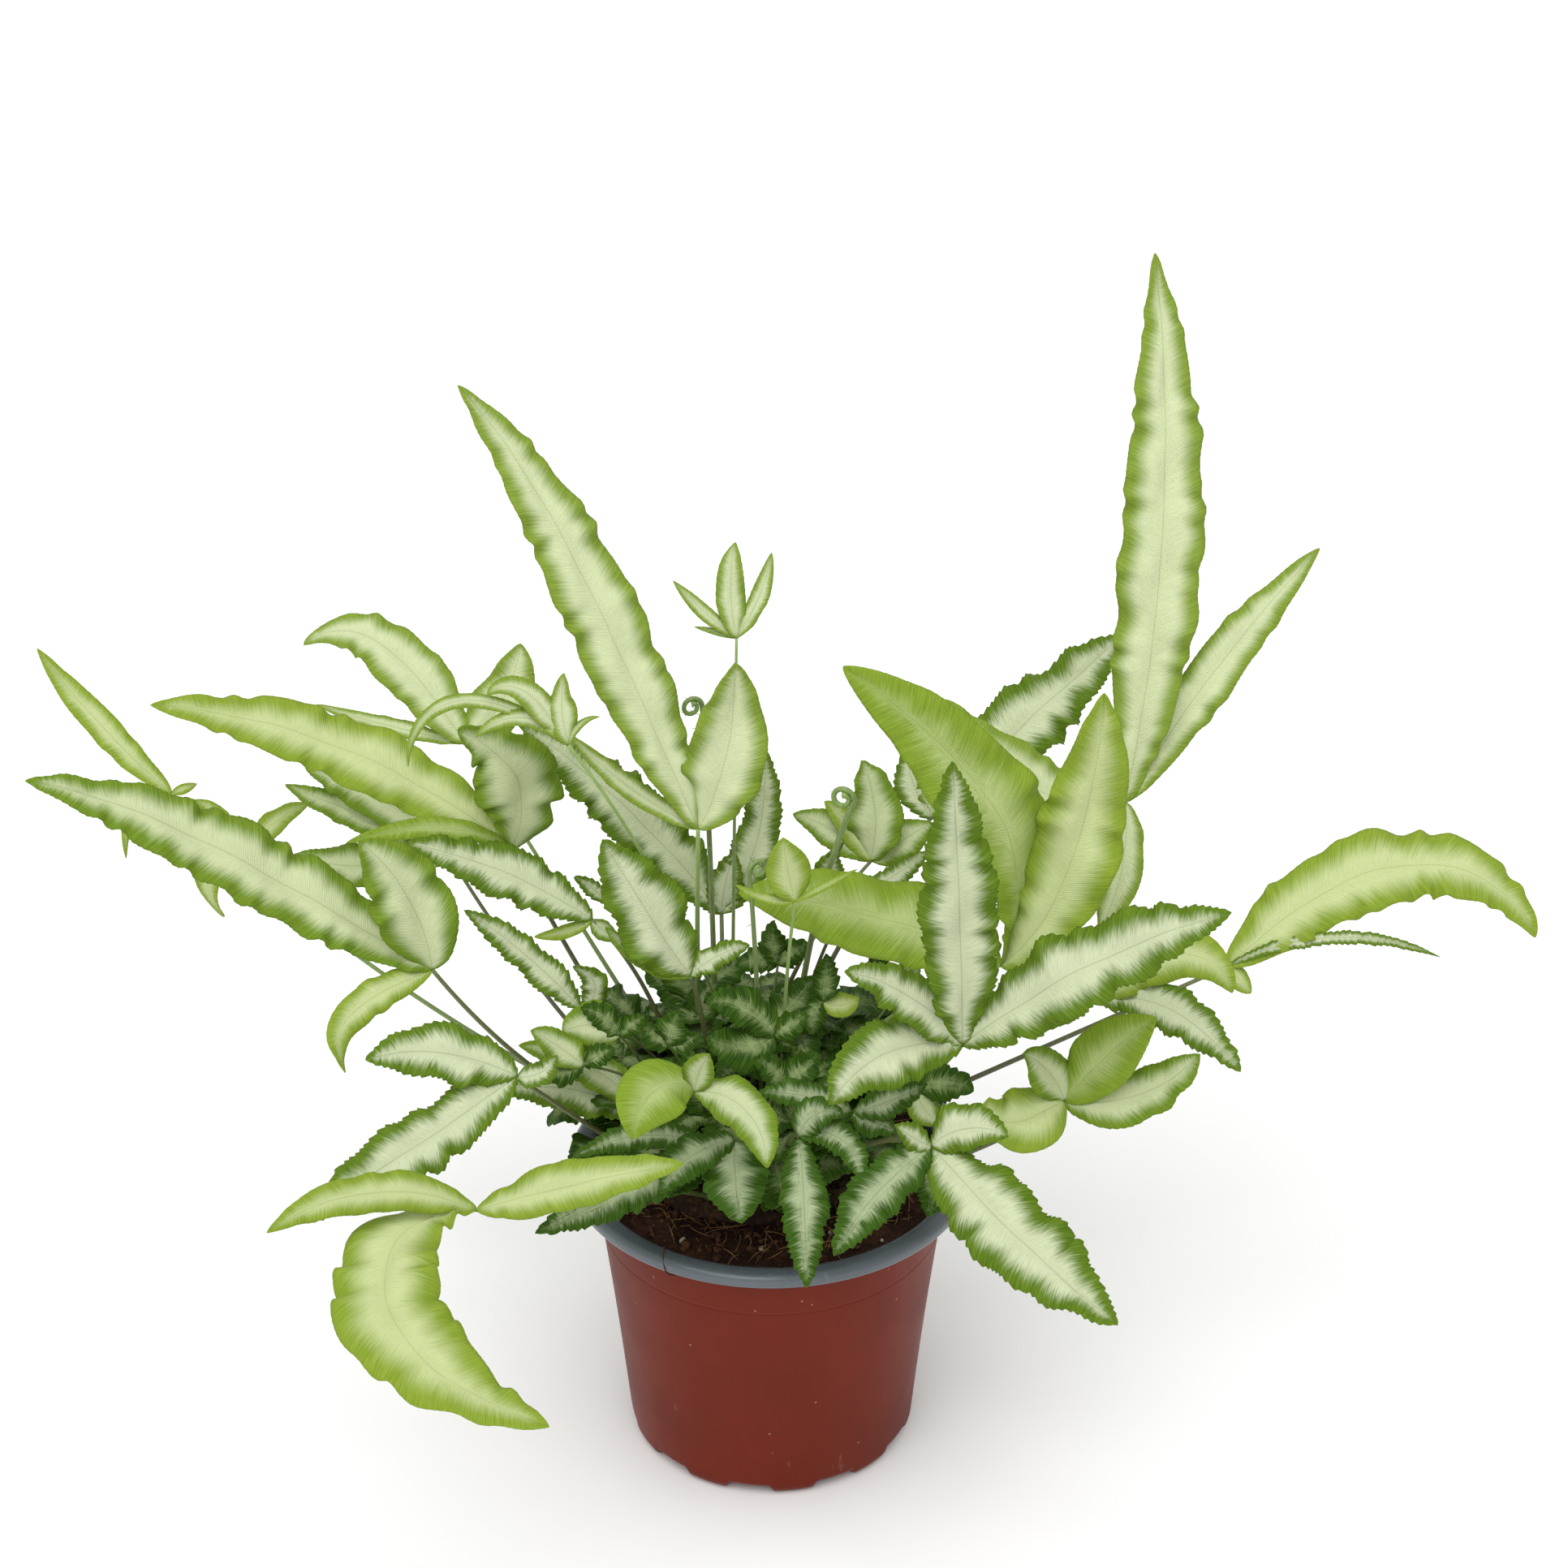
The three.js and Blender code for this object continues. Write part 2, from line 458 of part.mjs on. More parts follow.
// A rod of a few flat sides along a curve.
function rod(curve, radius, steps) {
  const outline = Array.from({ length: STIPE_SIDES }, (_, i) => {
    const a = (2 * Math.PI * i) / STIPE_SIDES;
    return new THREE.Vector2(radius * Math.cos(a), radius * Math.sin(a));
  });
  const extrude = { steps, bevelEnabled: false, extrudePath: curve };
  return solid(new THREE.ExtrudeGeometry(new THREE.Shape(outline), extrude));
}

// Unit vectors along a pinna, across it to the right and out of its upper face, at the share t of its length.
function bladeFrame([heading, rise, droop, turn, late, roll], t) {
  const bent = t ** late;
  const h = THREE.MathUtils.degToRad(heading + turn * bent);
  const e = THREE.MathUtils.degToRad(rise - droop * bent);
  const along = new THREE.Vector3(Math.cos(e) * Math.cos(h), Math.cos(e) * Math.sin(h), Math.sin(e));
  const across = new THREE.Vector3(Math.sin(h), -Math.cos(h), 0);
  across.applyAxisAngle(along, -THREE.MathUtils.degToRad(roll));
  return { along, across, up: across.clone().cross(along) };
}

// Half width of a pinna as a share of its greatest: a lance shape, widest before the middle.
function lance(t) {
  return Math.max(0, Math.sin(Math.PI * t ** LANCE_SHIFT)) ** LANCE_FULLNESS;
}

// A pinna: a plate of rhombic section along a line that bends evenly, pointed at the tip, with a short root
// that reaches back into the stipe.
function blade(start, heading, rise, length, droop, turn, late, width, roll) {
  const shape = [heading, rise, droop, turn, late, roll];
  const bend = Math.abs(droop) + Math.abs(turn);
  const few = length > SHORT_LENGTH ? SHORT_STATIONS : TINY_STATIONS;
  const stations = bend > LONG_BEND || length > LONG_LENGTH ? LONG_STATIONS : few;
  const line = [start.clone()];
  for (let i = 0; i < LINE_STEPS; i++) {
    const step = bladeFrame(shape, (i + 0.5) / LINE_STEPS).along.multiplyScalar(length / LINE_STEPS);
    line.push(line[i].clone().add(step));
  }
  const at = (t) => {
    const i = Math.min(LINE_STEPS - 1, Math.floor(t * LINE_STEPS));
    return line[i].clone().lerp(line[i + 1], t * LINE_STEPS - i);
  };
  const points = [];
  for (const t of stations) {
    const { across, up } = bladeFrame(shape, t);
    const half = Math.max((width / 2) * lance(t), PETIOLE_WIDTH / 2);
    const offsets = [
      across.clone().multiplyScalar(half),
      up.clone().multiplyScalar(BLADE_THICKNESS / 2),
      across.clone().multiplyScalar(-half),
      up.clone().multiplyScalar(-BLADE_THICKNESS / 2),
    ];
    points.push(...offsets.map((o) => at(t).add(o)));
  }
  const root = points.push(start.clone().addScaledVector(bladeFrame(shape, 0).along, -ROOT_REACH)) - 1;
  const tip = points.push(line[LINE_STEPS]) - 1;
  const faces = [];
  const last = (stations.length - 1) * 4;
  for (let k = 0; k < 4; k++) {
    const next = (k + 1) % 4;
    for (let ring = 0; ring < last; ring += 4) {
      const [a, b, c, d] = [ring + k, ring + next, ring + next + 4, ring + k + 4];
      // The under side is cut along the same lines as the upper side, so that a twisted blade stays whole.
      if (k < 2) faces.push(a, c, b, a, d, c);
      else faces.push(a, d, b, b, d, c);
    }
    faces.push(last + next, last + k, tip, k, next, root);
  }
  const g = new THREE.BufferGeometry().setFromPoints(points);
  g.setIndex(faces);
  return solid(g);
}

function makeFrond(radius, footShare, hub, bow, pinnae) {
  const curve = stipeCurve(radius, footShare, hub, bow);
  let frond = rod(curve, radius, STIPE_STEPS);
  for (const [, place, ...shape] of pinnae) frond = frond.add(blade(curve.getPoint(place), ...shape));
  return { frond: frond.simplify(JOINT_MERGE), foot: curve.v0.toArray() };
}

// The line of a crozier: a stem, then a coil that winds in on the side of its heading.
class CrozierCurve extends THREE.Curve {
  constructor(stem, heading, coil) {
    super();
    this.stem = stem;
    this.out = new THREE.Vector3(Math.cos(heading), Math.sin(heading), 0);
    this.coil = coil;
  }

  getPoint(t) {
    const straight = 1 - CROZIER_SHARE;
    if (t <= straight) return this.stem.getPoint(t / straight);
    const share = (t - straight) / CROZIER_SHARE;
    const turn = share * COIL_TURNS * 2 * Math.PI;
    const r = this.coil * (1 - COIL_TIGHTENING * share);
    return this.stem.v2
      .clone()
      .addScaledVector(this.out, this.coil - r * Math.cos(turn))
      .add(new THREE.Vector3(0, 0, r * Math.sin(turn)));
  }

  // Equal steps of t, so that the coil keeps its share of them.
  getPointAt(u) {
    return this.getPoint(u);
  }

  getTangentAt(u) {
    return this.getTangent(u);
  }
}

const fern = new THREE.Group();
fern.add(piece("pot", makePot(), MATERIALS.pot));
fern.add(piece("potting_mix", makeMix(), MATERIALS.mix));
fern.add(piece("crown", makeCrown(), MATERIALS.crown, [...CROWN_CENTRE, MIX_TOP]));

for (const [name, radius, footShare, hub, bow, pinnae] of FRONDS) {
  const { frond, foot } = makeFrond(radius, footShare, hub, bow, pinnae);
  fern.add(piece(name, frond, MATERIALS[pinnae[0][0]], foot));
}

for (const [name, radius, footShare, top, bow, heading, coil] of CROZIERS) {
  const stem = stipeCurve(radius, footShare, top, bow);
  const curve = new CrozierCurve(stem, THREE.MathUtils.degToRad(heading), coil);
  fern.add(piece(name, rod(curve, radius, CROZIER_STEPS), MATERIALS.lime, stem.v0.toArray()));
}

export default fern;
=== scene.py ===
"""A variegated ribbon fern in a two-tone nursery pot. The sections follow the plant as it is put together:
pot, potting mix, crown, fronds, undergrowth, croziers, and then the studio."""
import math

import bpy
import numpy as np
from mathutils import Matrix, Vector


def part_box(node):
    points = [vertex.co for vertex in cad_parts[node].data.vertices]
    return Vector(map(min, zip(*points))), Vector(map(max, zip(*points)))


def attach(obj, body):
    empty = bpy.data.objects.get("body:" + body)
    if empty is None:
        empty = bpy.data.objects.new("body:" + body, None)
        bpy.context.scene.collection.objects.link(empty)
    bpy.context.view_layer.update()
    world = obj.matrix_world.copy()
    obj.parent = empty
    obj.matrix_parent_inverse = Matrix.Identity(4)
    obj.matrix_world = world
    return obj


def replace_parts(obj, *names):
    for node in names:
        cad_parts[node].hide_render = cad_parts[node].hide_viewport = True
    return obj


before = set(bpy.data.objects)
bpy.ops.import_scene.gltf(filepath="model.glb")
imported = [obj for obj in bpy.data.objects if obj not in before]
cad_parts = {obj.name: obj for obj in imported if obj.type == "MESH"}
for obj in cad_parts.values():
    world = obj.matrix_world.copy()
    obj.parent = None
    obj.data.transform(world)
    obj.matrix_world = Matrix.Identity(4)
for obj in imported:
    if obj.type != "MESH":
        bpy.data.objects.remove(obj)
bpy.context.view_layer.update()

# ------------------------------------------------------------
# Pot: one thin moulding of polypropylene, brown on the outside and blue-grey on the inside and on the lip.
# The lip is rolled outwards, and the foot has shallow arches that let water out. It stands free.
MM = 0.001
POT_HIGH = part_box("pot")[1]
POT_TOP = POT_HIGH[2]
RIM_RADIUS = POT_HIGH[0]
LIP_OVERHANG = 7.5 * MM
LIP_HEIGHT = 4.5 * MM
LIP_ROUND = 1.9 * MM
BASE_RADIUS = 43 * MM
FOOT_ROUND = 4 * MM
WALL = 1.4 * MM
FLOOR_THICKNESS = 2.5 * MM
WALL_FLARE = 0.2
NOTCH_COUNT = 10
NOTCH_HEIGHT = 2.2 * MM
NOTCH_TURN = math.radians(9)
NOTCH_REACH = 10 * MM
NOTCH_FADE = 9 * MM
POT_SIDES = 360
WALL_RINGS = 60
FLOOR_RINGS = 20
ROUND_STEPS = 8
RING_BELOW_LIP = 15.5 * MM
RING_DEPTH = 0.16 * MM
RING_WIDTH = 0.4 * MM
POLYPROPYLENE_IOR = 1.49
POT_BROWN = "#6E210C"
POT_BROWN_WORN = "#64200D"
POT_BROWN_SCUFF = "#A27A6C"
POT_GREY = "#535A60"
POT_GREY_WORN = "#5B6369"
POT_GREY_SCUFF = "#767F86"
BROWN_ROUGHNESS, BROWN_GLOSS = 0.38, 0.14
GREY_ROUGHNESS, GREY_GLOSS = 0.2, 0.5


def linear(colour, alpha=1.0):
    """The linear RGBA of an sRGB hex colour, by the sRGB curve's two branches."""
    parts = [int(colour[i : i + 2], 16) / 255 for i in (1, 3, 5)]
    return [c / 12.92 if c < 0.04045 else ((c + 0.055) / 1.055) ** 2.4 for c in parts] + [alpha]


def add(tree, kind, inputs=None, **settings):
    """A new shader node of a tree with its settings, and with its inputs set to values or linked. A node
    that is given as an input stands for its first output in use."""
    made = tree.nodes.new("ShaderNode" + kind)
    for key, value in settings.items():
        setattr(made, key, value)
    for key, value in (inputs or {}).items():
        if isinstance(value, bpy.types.Node):
            value = next(socket for socket in value.outputs if socket.enabled)
        if isinstance(value, bpy.types.NodeSocket):
            tree.links.new(value, made.inputs[key])
        else:
            made.inputs[key].default_value = value
    return made


def new_material(name):
    """A material with an empty tree, and the tree."""
    material = bpy.data.materials.new(name)
    material.use_nodes = True
    material.node_tree.nodes.clear()
    return material, material.node_tree


def make_piece(name, points, loops, sizes, material, data=None):
    """A mesh from flat arrays: points (n, 3), the corners of all faces in a row, and each face's corner
    count. data holds named float attributes, one value a point."""
    mesh = bpy.data.meshes.new(name)
    mesh.vertices.add(len(points))
    mesh.vertices.foreach_set("co", np.asarray(points, np.float32).ravel())
    mesh.loops.add(len(loops))
    mesh.loops.foreach_set("vertex_index", np.asarray(loops, np.int32))
    mesh.polygons.add(len(sizes))
    starts = np.concatenate([[0], np.cumsum(sizes)[:-1]])
    mesh.polygons.foreach_set("loop_start", starts.astype(np.int32))
    mesh.update(calc_edges=True)
    for key, values in (data or {}).items():
        mesh.attributes.new(key, "FLOAT", "POINT").data.foreach_set("value", values.astype(np.float32))
    mesh.shade_smooth()
    mesh.materials.append(material)
    mesh.validate()
    piece = bpy.data.objects.new(name, mesh)
    bpy.context.scene.collection.objects.link(piece)
    return piece


def ring_faces(rows, count):
    """Corners and sizes of the faces of a closed tube: rows rings of count points each. Quads join each ring
    to the next, and one face closes each end."""
    low, high = np.meshgrid(np.arange(rows - 1) * count, np.arange(count), indexing="ij")
    side = (high + 1) % count
    quads = np.stack([low + high, low + side, low + count + side, low + count + high], -1)
    ends = [np.arange(count)[::-1], np.arange(count) + (rows - 1) * count]
    return np.concatenate([quads.ravel(), *ends]), np.append(np.full(quads.size // 4, 4), [count, count])


def arc(radius, height, size, start, end, steps):
    """Profile points round (radius, height) from one angle to another, in degrees."""
    angles = np.radians(np.linspace(start, end, steps))
    return np.stack([radius + size * np.cos(angles), height + size * np.sin(angles)], -1)


def wall_radius(height):
    """The outer face's radius: from the foot to the lip, mostly straight, with a share that grows as the
    square of the height, so that the pot flares a little at the top."""
    top = POT_TOP - LIP_HEIGHT
    u = (height - FOOT_ROUND) / (top - FOOT_ROUND)
    return BASE_RADIUS + (RIM_RADIUS - LIP_OVERHANG - BASE_RADIUS) * u * (1 - WALL_FLARE + WALL_FLARE * u)


def revolve(profile, sides):
    """Points (rows, sides, 3) of a profile of (radius, height) carried round +Z."""
    angles = np.linspace(0, 2 * np.pi, sides, endpoint=False)
    radius, height = profile[:, :1], np.repeat(profile[:, 1:], sides, 1)
    return np.stack([radius * np.cos(angles), radius * np.sin(angles), height], -1)


def pot_profile():
    """The pot's closed section: up the outside, over the lip and down the inside. A shallow ring is pressed
    into the wall under the lip: a bell curve of the height. With it, how many of its points are brown."""
    wall_top = POT_TOP - LIP_HEIGHT
    ring = wall_top - RING_BELOW_LIP
    near = ring + np.linspace(-2.5, 2.5, 21) * RING_WIDTH
    rise = np.union1d(np.linspace(FOOT_ROUND, wall_top, WALL_RINGS)[1:], near)
    pressed = RING_DEPTH * np.exp(-(((rise - ring) / RING_WIDTH) ** 2))
    wall = np.stack([wall_radius(rise) - pressed, rise], -1)
    lip_edge = RIM_RADIUS - LIP_ROUND
    foot = arc(BASE_RADIUS - FOOT_ROUND, FOOT_ROUND, FOOT_ROUND, -90, 0, ROUND_STEPS)
    out = np.linspace(0.2 * MM, BASE_RADIUS - FOOT_ROUND, FLOOR_RINGS)
    floor = np.stack([out[:-1], np.zeros(FLOOR_RINGS - 1)], -1)
    under = arc(lip_edge, wall_top + LIP_ROUND, LIP_ROUND, -90, -10, ROUND_STEPS)
    over = arc(lip_edge, POT_TOP - LIP_ROUND, LIP_ROUND, 10, 90, ROUND_STEPS)
    roll_out = np.linspace(lip_edge - 0.6 * MM, RIM_RADIUS - LIP_OVERHANG + WALL, 4)
    roll = np.stack([roll_out, POT_TOP - np.array([0, 0.1, 0.3, 0.7]) * MM], -1)
    inside = np.stack([wall_radius(rise) - WALL, rise], -1)[::-1]
    basin = np.array([[BASE_RADIUS - WALL, FOOT_ROUND], [BASE_RADIUS - FOOT_ROUND, FLOOR_THICKNESS]])
    plate = np.stack([out[-2::-1], np.full(FLOOR_RINGS - 1, FLOOR_THICKNESS)], -1)
    outside = np.concatenate([floor, foot, wall])
    return np.concatenate([outside, under, over, roll, inside, basin, plate]), len(outside)


def lift_arches(points):
    """The foot raised in flat arches between its feet: a cosine round the pot, steepened until it is nearly
    a square wave, that fades out up the wall and towards the middle of the floor."""
    angles = np.linspace(0, 2 * np.pi, POT_SIDES, endpoint=False)
    wave = np.clip(2.2 * np.cos((angles - NOTCH_TURN) * NOTCH_COUNT) + 0.5, 0, 1)
    radius = np.hypot(points[..., 0], points[..., 1])
    reach = np.clip((radius - BASE_RADIUS + NOTCH_REACH) / (3 * MM), 0, 1)
    fade = np.clip(1 - points[..., 2] / NOTCH_FADE, 0, 1)
    points[..., 2] += NOTCH_HEIGHT * (3 * wave**2 - 2 * wave**3) * reach * fade
    return points


def moulded_plastic(name, fresh, worn, scuff, rough, gloss):
    """Polypropylene, injection moulded: satin, with a faint mottle of 30 mm and a grain of 0.9 mm, rubs of 6
    by 22 mm where pots stood against each other, and pale specks of grit under 0.8 mm across."""
    material, tree = new_material(name)
    place = add(tree, "TexCoord").outputs["Object"]
    cloud = add(tree, "TexNoise", {"Vector": place, "Scale": 35.0, "Detail": 4.0})
    grain = add(tree, "TexNoise", {"Vector": place, "Scale": 1100.0, "Detail": 2.0})
    long = add(tree, "Mapping", {"Vector": place, "Scale": (160.0, 160.0, 45.0)})
    rub = add(tree, "TexNoise", {"Vector": long, "Scale": 1.0, "Detail": 5.0})
    grit = add(tree, "TexVoronoi", {"Vector": place, "Scale": 130.0})
    mottle = add(tree, "MapRange", {0: cloud, 1: 0.35, 2: 0.7})
    body = add(tree, "Mix", {0: mottle, 6: linear(fresh), 7: linear(worn)}, data_type="RGBA")
    dull = add(tree, "MapRange", {0: rub, 1: 0.68, 2: 0.78, 4: 0.45})
    speck = add(tree, "MapRange", {0: grit, 1: 0.05, 2: 0.035, 4: 0.8})
    mark = add(tree, "Math", {0: dull, 1: speck}, operation="MAXIMUM")
    colour = add(tree, "Mix", {0: mark, 6: body, 7: linear(scuff)}, data_type="RGBA")
    sheen = add(tree, "MapRange", {0: cloud, 1: 0.3, 2: 0.7, 3: rough, 4: rough + 0.12})
    relief = add(tree, "Math", {0: rub, 1: 0.6, 2: grain}, operation="MULTIPLY_ADD")
    bump = add(tree, "Bump", {"Height": relief, "Strength": 0.25, "Distance": 0.1 * MM})
    skin = {"Base Color": colour, "Roughness": sheen, "Normal": bump, "Specular IOR Level": gloss}
    shader = add(tree, "BsdfPrincipled", {**skin, "IOR": POLYPROPYLENE_IOR})
    add(tree, "OutputMaterial", {"Surface": shader})
    return material


def make_pot():
    """The section carried round the axis, brown below the lip on the outside and grey everywhere else."""
    profile, brown_rows = pot_profile()
    points = lift_arches(revolve(profile, POT_SIDES))
    loops, sizes = ring_faces(len(profile), POT_SIDES)
    browns, greys = (POT_BROWN, POT_BROWN_WORN, POT_BROWN_SCUFF), (POT_GREY, POT_GREY_WORN, POT_GREY_SCUFF)
    brown = moulded_plastic("polypropylene_brown_outside", *browns, BROWN_ROUGHNESS, BROWN_GLOSS)
    grey = moulded_plastic("polypropylene_grey_inside", *greys, GREY_ROUGHNESS, GREY_GLOSS)
    pot = make_piece("nursery_pot", points.reshape(-1, 3), loops, sizes, brown)
    pot.data.materials.append(grey)
    row = np.arange(len(sizes)) // POT_SIDES
    pot.data.polygons.foreach_set("material_index", (row >= brown_rows - 1).astype(np.int32))
    return pot


pot = make_pot()
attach(pot, "root")
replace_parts(pot, "pot")

# ------------------------------------------------------------
# Potting mix: peat with coconut fibre and a little perlite, filled to just under the lip and settled by
# watering. Crumbs, fibres and white grains lie loose on it, and one fibre hangs over the lip.
MIX_LOW, MIX_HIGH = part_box("potting_mix")
MIX_TOP = MIX_HIGH[2]
MIX_ROUGHNESS = 1.3 * MM
MIX_SIDES = 220
MIX_RINGS = 70
LUMP_WAVES = 28
CRUMBS = 800
FIBRES = 520
FIBRE_RADIUS = 0.17 * MM
HANGING_FIBRE_RADIUS = 0.26 * MM
PERLITE = 40
PEAT = "#2A160E"
PEAT_PALE = "#472A1A"
BARK_PALE = "#6E4A30"
FIBRE_BROWN = "#84603E"
FIBRE_TAN = "#B08A5C"
ROOT_DARK = "#35211A"
ROOT_BROWN = "#5A3826"
PERLITE_WHITE = "#B9AA9A"
PERLITE_DUSTY = "#B9B2A4"


def lumps(x, y, size, seed):
    """Uneven ground at (x, y): a sum of plane waves in seeded directions, whose lengths lie around size,
    scaled to about -1 to 1."""
    rng = np.random.default_rng(seed)
    turn, shift = rng.uniform(0, 2 * np.pi, (2, LUMP_WAVES))
    wave = 2 * np.pi / (size * rng.uniform(0.5, 2.2, LUMP_WAVES))
    across = np.multiply.outer(x, np.cos(turn)) + np.multiply.outer(y, np.sin(turn))
    return 4 * np.sin(across * wave + shift).sum(-1) / LUMP_WAVES


def mix_height(x, y):
    """Height of the mix: coarse and fine lumps about its packed level, kept a little below the CAD top."""
    coarse, fine = lumps(x, y, 14 * MM, 3), lumps(x, y, 4 * MM, 4)
    return MIX_TOP - 0.6 * MM + MIX_ROUGHNESS * (0.6 * coarse + 0.4 * fine)


def settle(points):
    """The top of the mix moved to its uneven height, away from the wall of the pot."""
    top = points[..., 2] > MIX_TOP - 0.1 * MM
    points[..., 2] = np.where(top, mix_height(points[..., 0], points[..., 1]), points[..., 2])
    return points


def tumble(rng, count):
    """count random turns as (count, 3, 3) matrices, from the orthogonal part of random matrices."""
    turns, _ = np.linalg.qr(rng.normal(size=(count, 3, 3)))
    return turns * np.sign(np.linalg.det(turns))[:, None, None]


def scatter(rng, count, reach):
    """count places over a disc of that reach, evenly spread by the square root of a random share."""
    turn, out = rng.uniform(0, 2 * np.pi, count), reach * np.sqrt(rng.uniform(0, 1, count))
    return out * np.cos(turn), out * np.sin(turn)


def copies(points, rows, count):
    """Many closed tubes of rows rings of count points, from their points (tubes, rings, points, 3)."""
    loops, sizes = ring_faces(rows, count)
    every = (loops[None] + rows * count * np.arange(len(points))[:, None]).ravel()
    return points.reshape(-1, 3), every, np.tile(sizes, len(points))


def grains(rng, count, reach, smallest, largest):
    """Angular grains: balls of five rings of six points, each stretched, turned and dropped on the mix."""
    ring = np.linspace(0, 2 * np.pi, 6, endpoint=False)
    rise = np.radians([-80, -35, 5, 40, 80])[:, None]
    ball = np.stack([np.cos(rise) * np.cos(ring), np.cos(rise) * np.sin(ring), np.sin(rise) + 0 * ring], -1)
    ball = ball.reshape(-1, 3)
    size = smallest + (largest - smallest) * rng.uniform(0, 1, (count, 1, 1)) ** 2
    shape = ball[None] * size * rng.uniform(0.5, 1.1, (count, 1, 3)) * rng.uniform(0.8, 1.15, (count, 30, 1))
    x, y = scatter(rng, count, reach)
    place = np.stack([x, y, mix_height(x, y) + 0.25 * size[:, 0, 0]], -1)
    points = np.einsum("nij,nkj->nki", tumble(rng, count), shape) + place[:, None]
    return copies(points, 5, 6)


def threads(starts, ways, bends, lengths, radius):
    """Fibres: four-sided tubes of six rings along arcs that leave starts along ways and turn by bends, with
    the length shared equally, and sunk to nothing at both ends."""
    share = np.linspace(0, 1, 6)[None, :, None]
    path = starts[:, None] + lengths[:, None, None] * (share * ways[:, None] + share**2 * bends[:, None])
    along = ways[:, None] + 2 * share * bends[:, None]
    along /= np.linalg.norm(along, axis=-1, keepdims=True)
    side = np.cross(along, [0.1, 0.2, 1.0])
    side /= np.linalg.norm(side, axis=-1, keepdims=True)
    rise = np.cross(along, side)
    thick = radius * np.sin(np.pi * (0.08 + 0.84 * share))[..., None]
    ring = np.radians([0, 90, 180, 270])
    offset = np.cos(ring)[:, None] * side[:, :, None] + np.sin(ring)[:, None] * rise[:, :, None]
    return copies(path[:, :, None] + thick * offset, 6, 4)


def tube(path, radii, sides, data):
    """A tube along a path of (n, 3) points. Its rings stand square to the path, and each starts on the side
    that a fixed slanting line gives it."""
    along = np.gradient(path, axis=0)
    along /= np.linalg.norm(along, axis=1, keepdims=True)
    side = np.cross(along, [0.35, 0.93, 0.1])
    side /= np.linalg.norm(side, axis=1, keepdims=True)
    rise = np.cross(along, side)
    turn = np.linspace(0, 2 * np.pi, sides, endpoint=False)
    ring = np.cos(turn)[:, None] * side[:, None] + np.sin(turn)[:, None] * rise[:, None]
    points = path[:, None] + radii[:, None, None] * ring
    loops, sizes = ring_faces(len(path), sides)
    every = {key: np.repeat(np.broadcast_to(values, len(path)), sides) for key, values in data.items()}
    return points.reshape(-1, 3), loops, sizes, every


def peat_mix(name, colour, pale):
    """Damp plant matter: dark and dull, crumbly at 1.4 mm, with patches of 11 mm that have dried paler."""
    material, tree = new_material(name)
    place = add(tree, "TexCoord").outputs["Object"]
    crumb = add(tree, "TexNoise", {"Vector": place, "Scale": 700.0, "Detail": 5.0})
    patch = add(tree, "TexNoise", {"Vector": place, "Scale": 90.0, "Detail": 3.0})
    both = add(tree, "Math", {0: crumb, 1: patch}, operation="ADD")
    share = add(tree, "MapRange", {0: both, 1: 0.95, 2: 1.25})
    body = add(tree, "Mix", {0: share, 6: linear(colour), 7: linear(pale)}, data_type="RGBA")
    bump = add(tree, "Bump", {"Height": crumb, "Strength": 0.8, "Distance": 0.6 * MM})
    skin = {"Base Color": body, "Normal": bump, "Roughness": 0.93, "Specular IOR Level": 0.25}
    shader = add(tree, "BsdfPrincipled", skin)
    add(tree, "OutputMaterial", {"Surface": shader})
    return material


def make_mix():
    """The bed: a section that follows the pot's wall just inside it and runs level to the axis, carried
    round and then settled."""
    reach = MIX_HIGH[0] - 0.2 * MM
    edge = np.linspace(MIX_LOW[2] + 0.3 * MM, MIX_TOP, 14)
    side = np.stack([wall_radius(edge) - WALL - 0.6 * MM, edge], -1)
    under = np.array([[0.3 * MM, edge[0]]])
    top = np.stack([np.linspace(reach - 1 * MM, 0.3 * MM, MIX_RINGS), np.full(MIX_RINGS, MIX_TOP)], -1)
    profile = np.concatenate([under, side, top])
    points = settle(revolve(profile, MIX_SIDES)).reshape(-1, 3)
    peat = peat_mix("peat", PEAT, PEAT_PALE)
    return make_piece("potting_mix_bed", points, *ring_faces(len(profile), MIX_SIDES), peat)


def make_fibres():
    """Coconut fibres at random places on the mix: arcs that rise a little and come down again. One that
    would leave the pot is turned round."""
    rng = np.random.default_rng(11)
    x, y = scatter(rng, FIBRES, MIX_HIGH[0] - 4 * MM)
    turn = rng.uniform(0, 2 * np.pi, FIBRES)
    ways = np.stack([np.cos(turn), np.sin(turn), rng.uniform(0.05, 0.5, FIBRES)], -1)
    bends = np.stack([rng.normal(0, 0.35, FIBRES), rng.normal(0, 0.35, FIBRES), -ways[:, 2]], -1)
    lengths = rng.uniform(3, 13, FIBRES) * MM
    reach = MIX_HIGH[0] - 2 * MM
    far = np.hypot(x + lengths * np.cos(turn), y + lengths * np.sin(turn)) > reach
    ways[far, :2] *= -1
    starts = np.stack([x, y, mix_height(x, y) + 0.1 * MM], -1)
    fibre = peat_mix("coconut_fibre", FIBRE_BROWN, FIBRE_TAN)
    return make_piece("mix_fibres", *threads(starts, ways, bends, lengths, FIBRE_RADIUS), fibre)


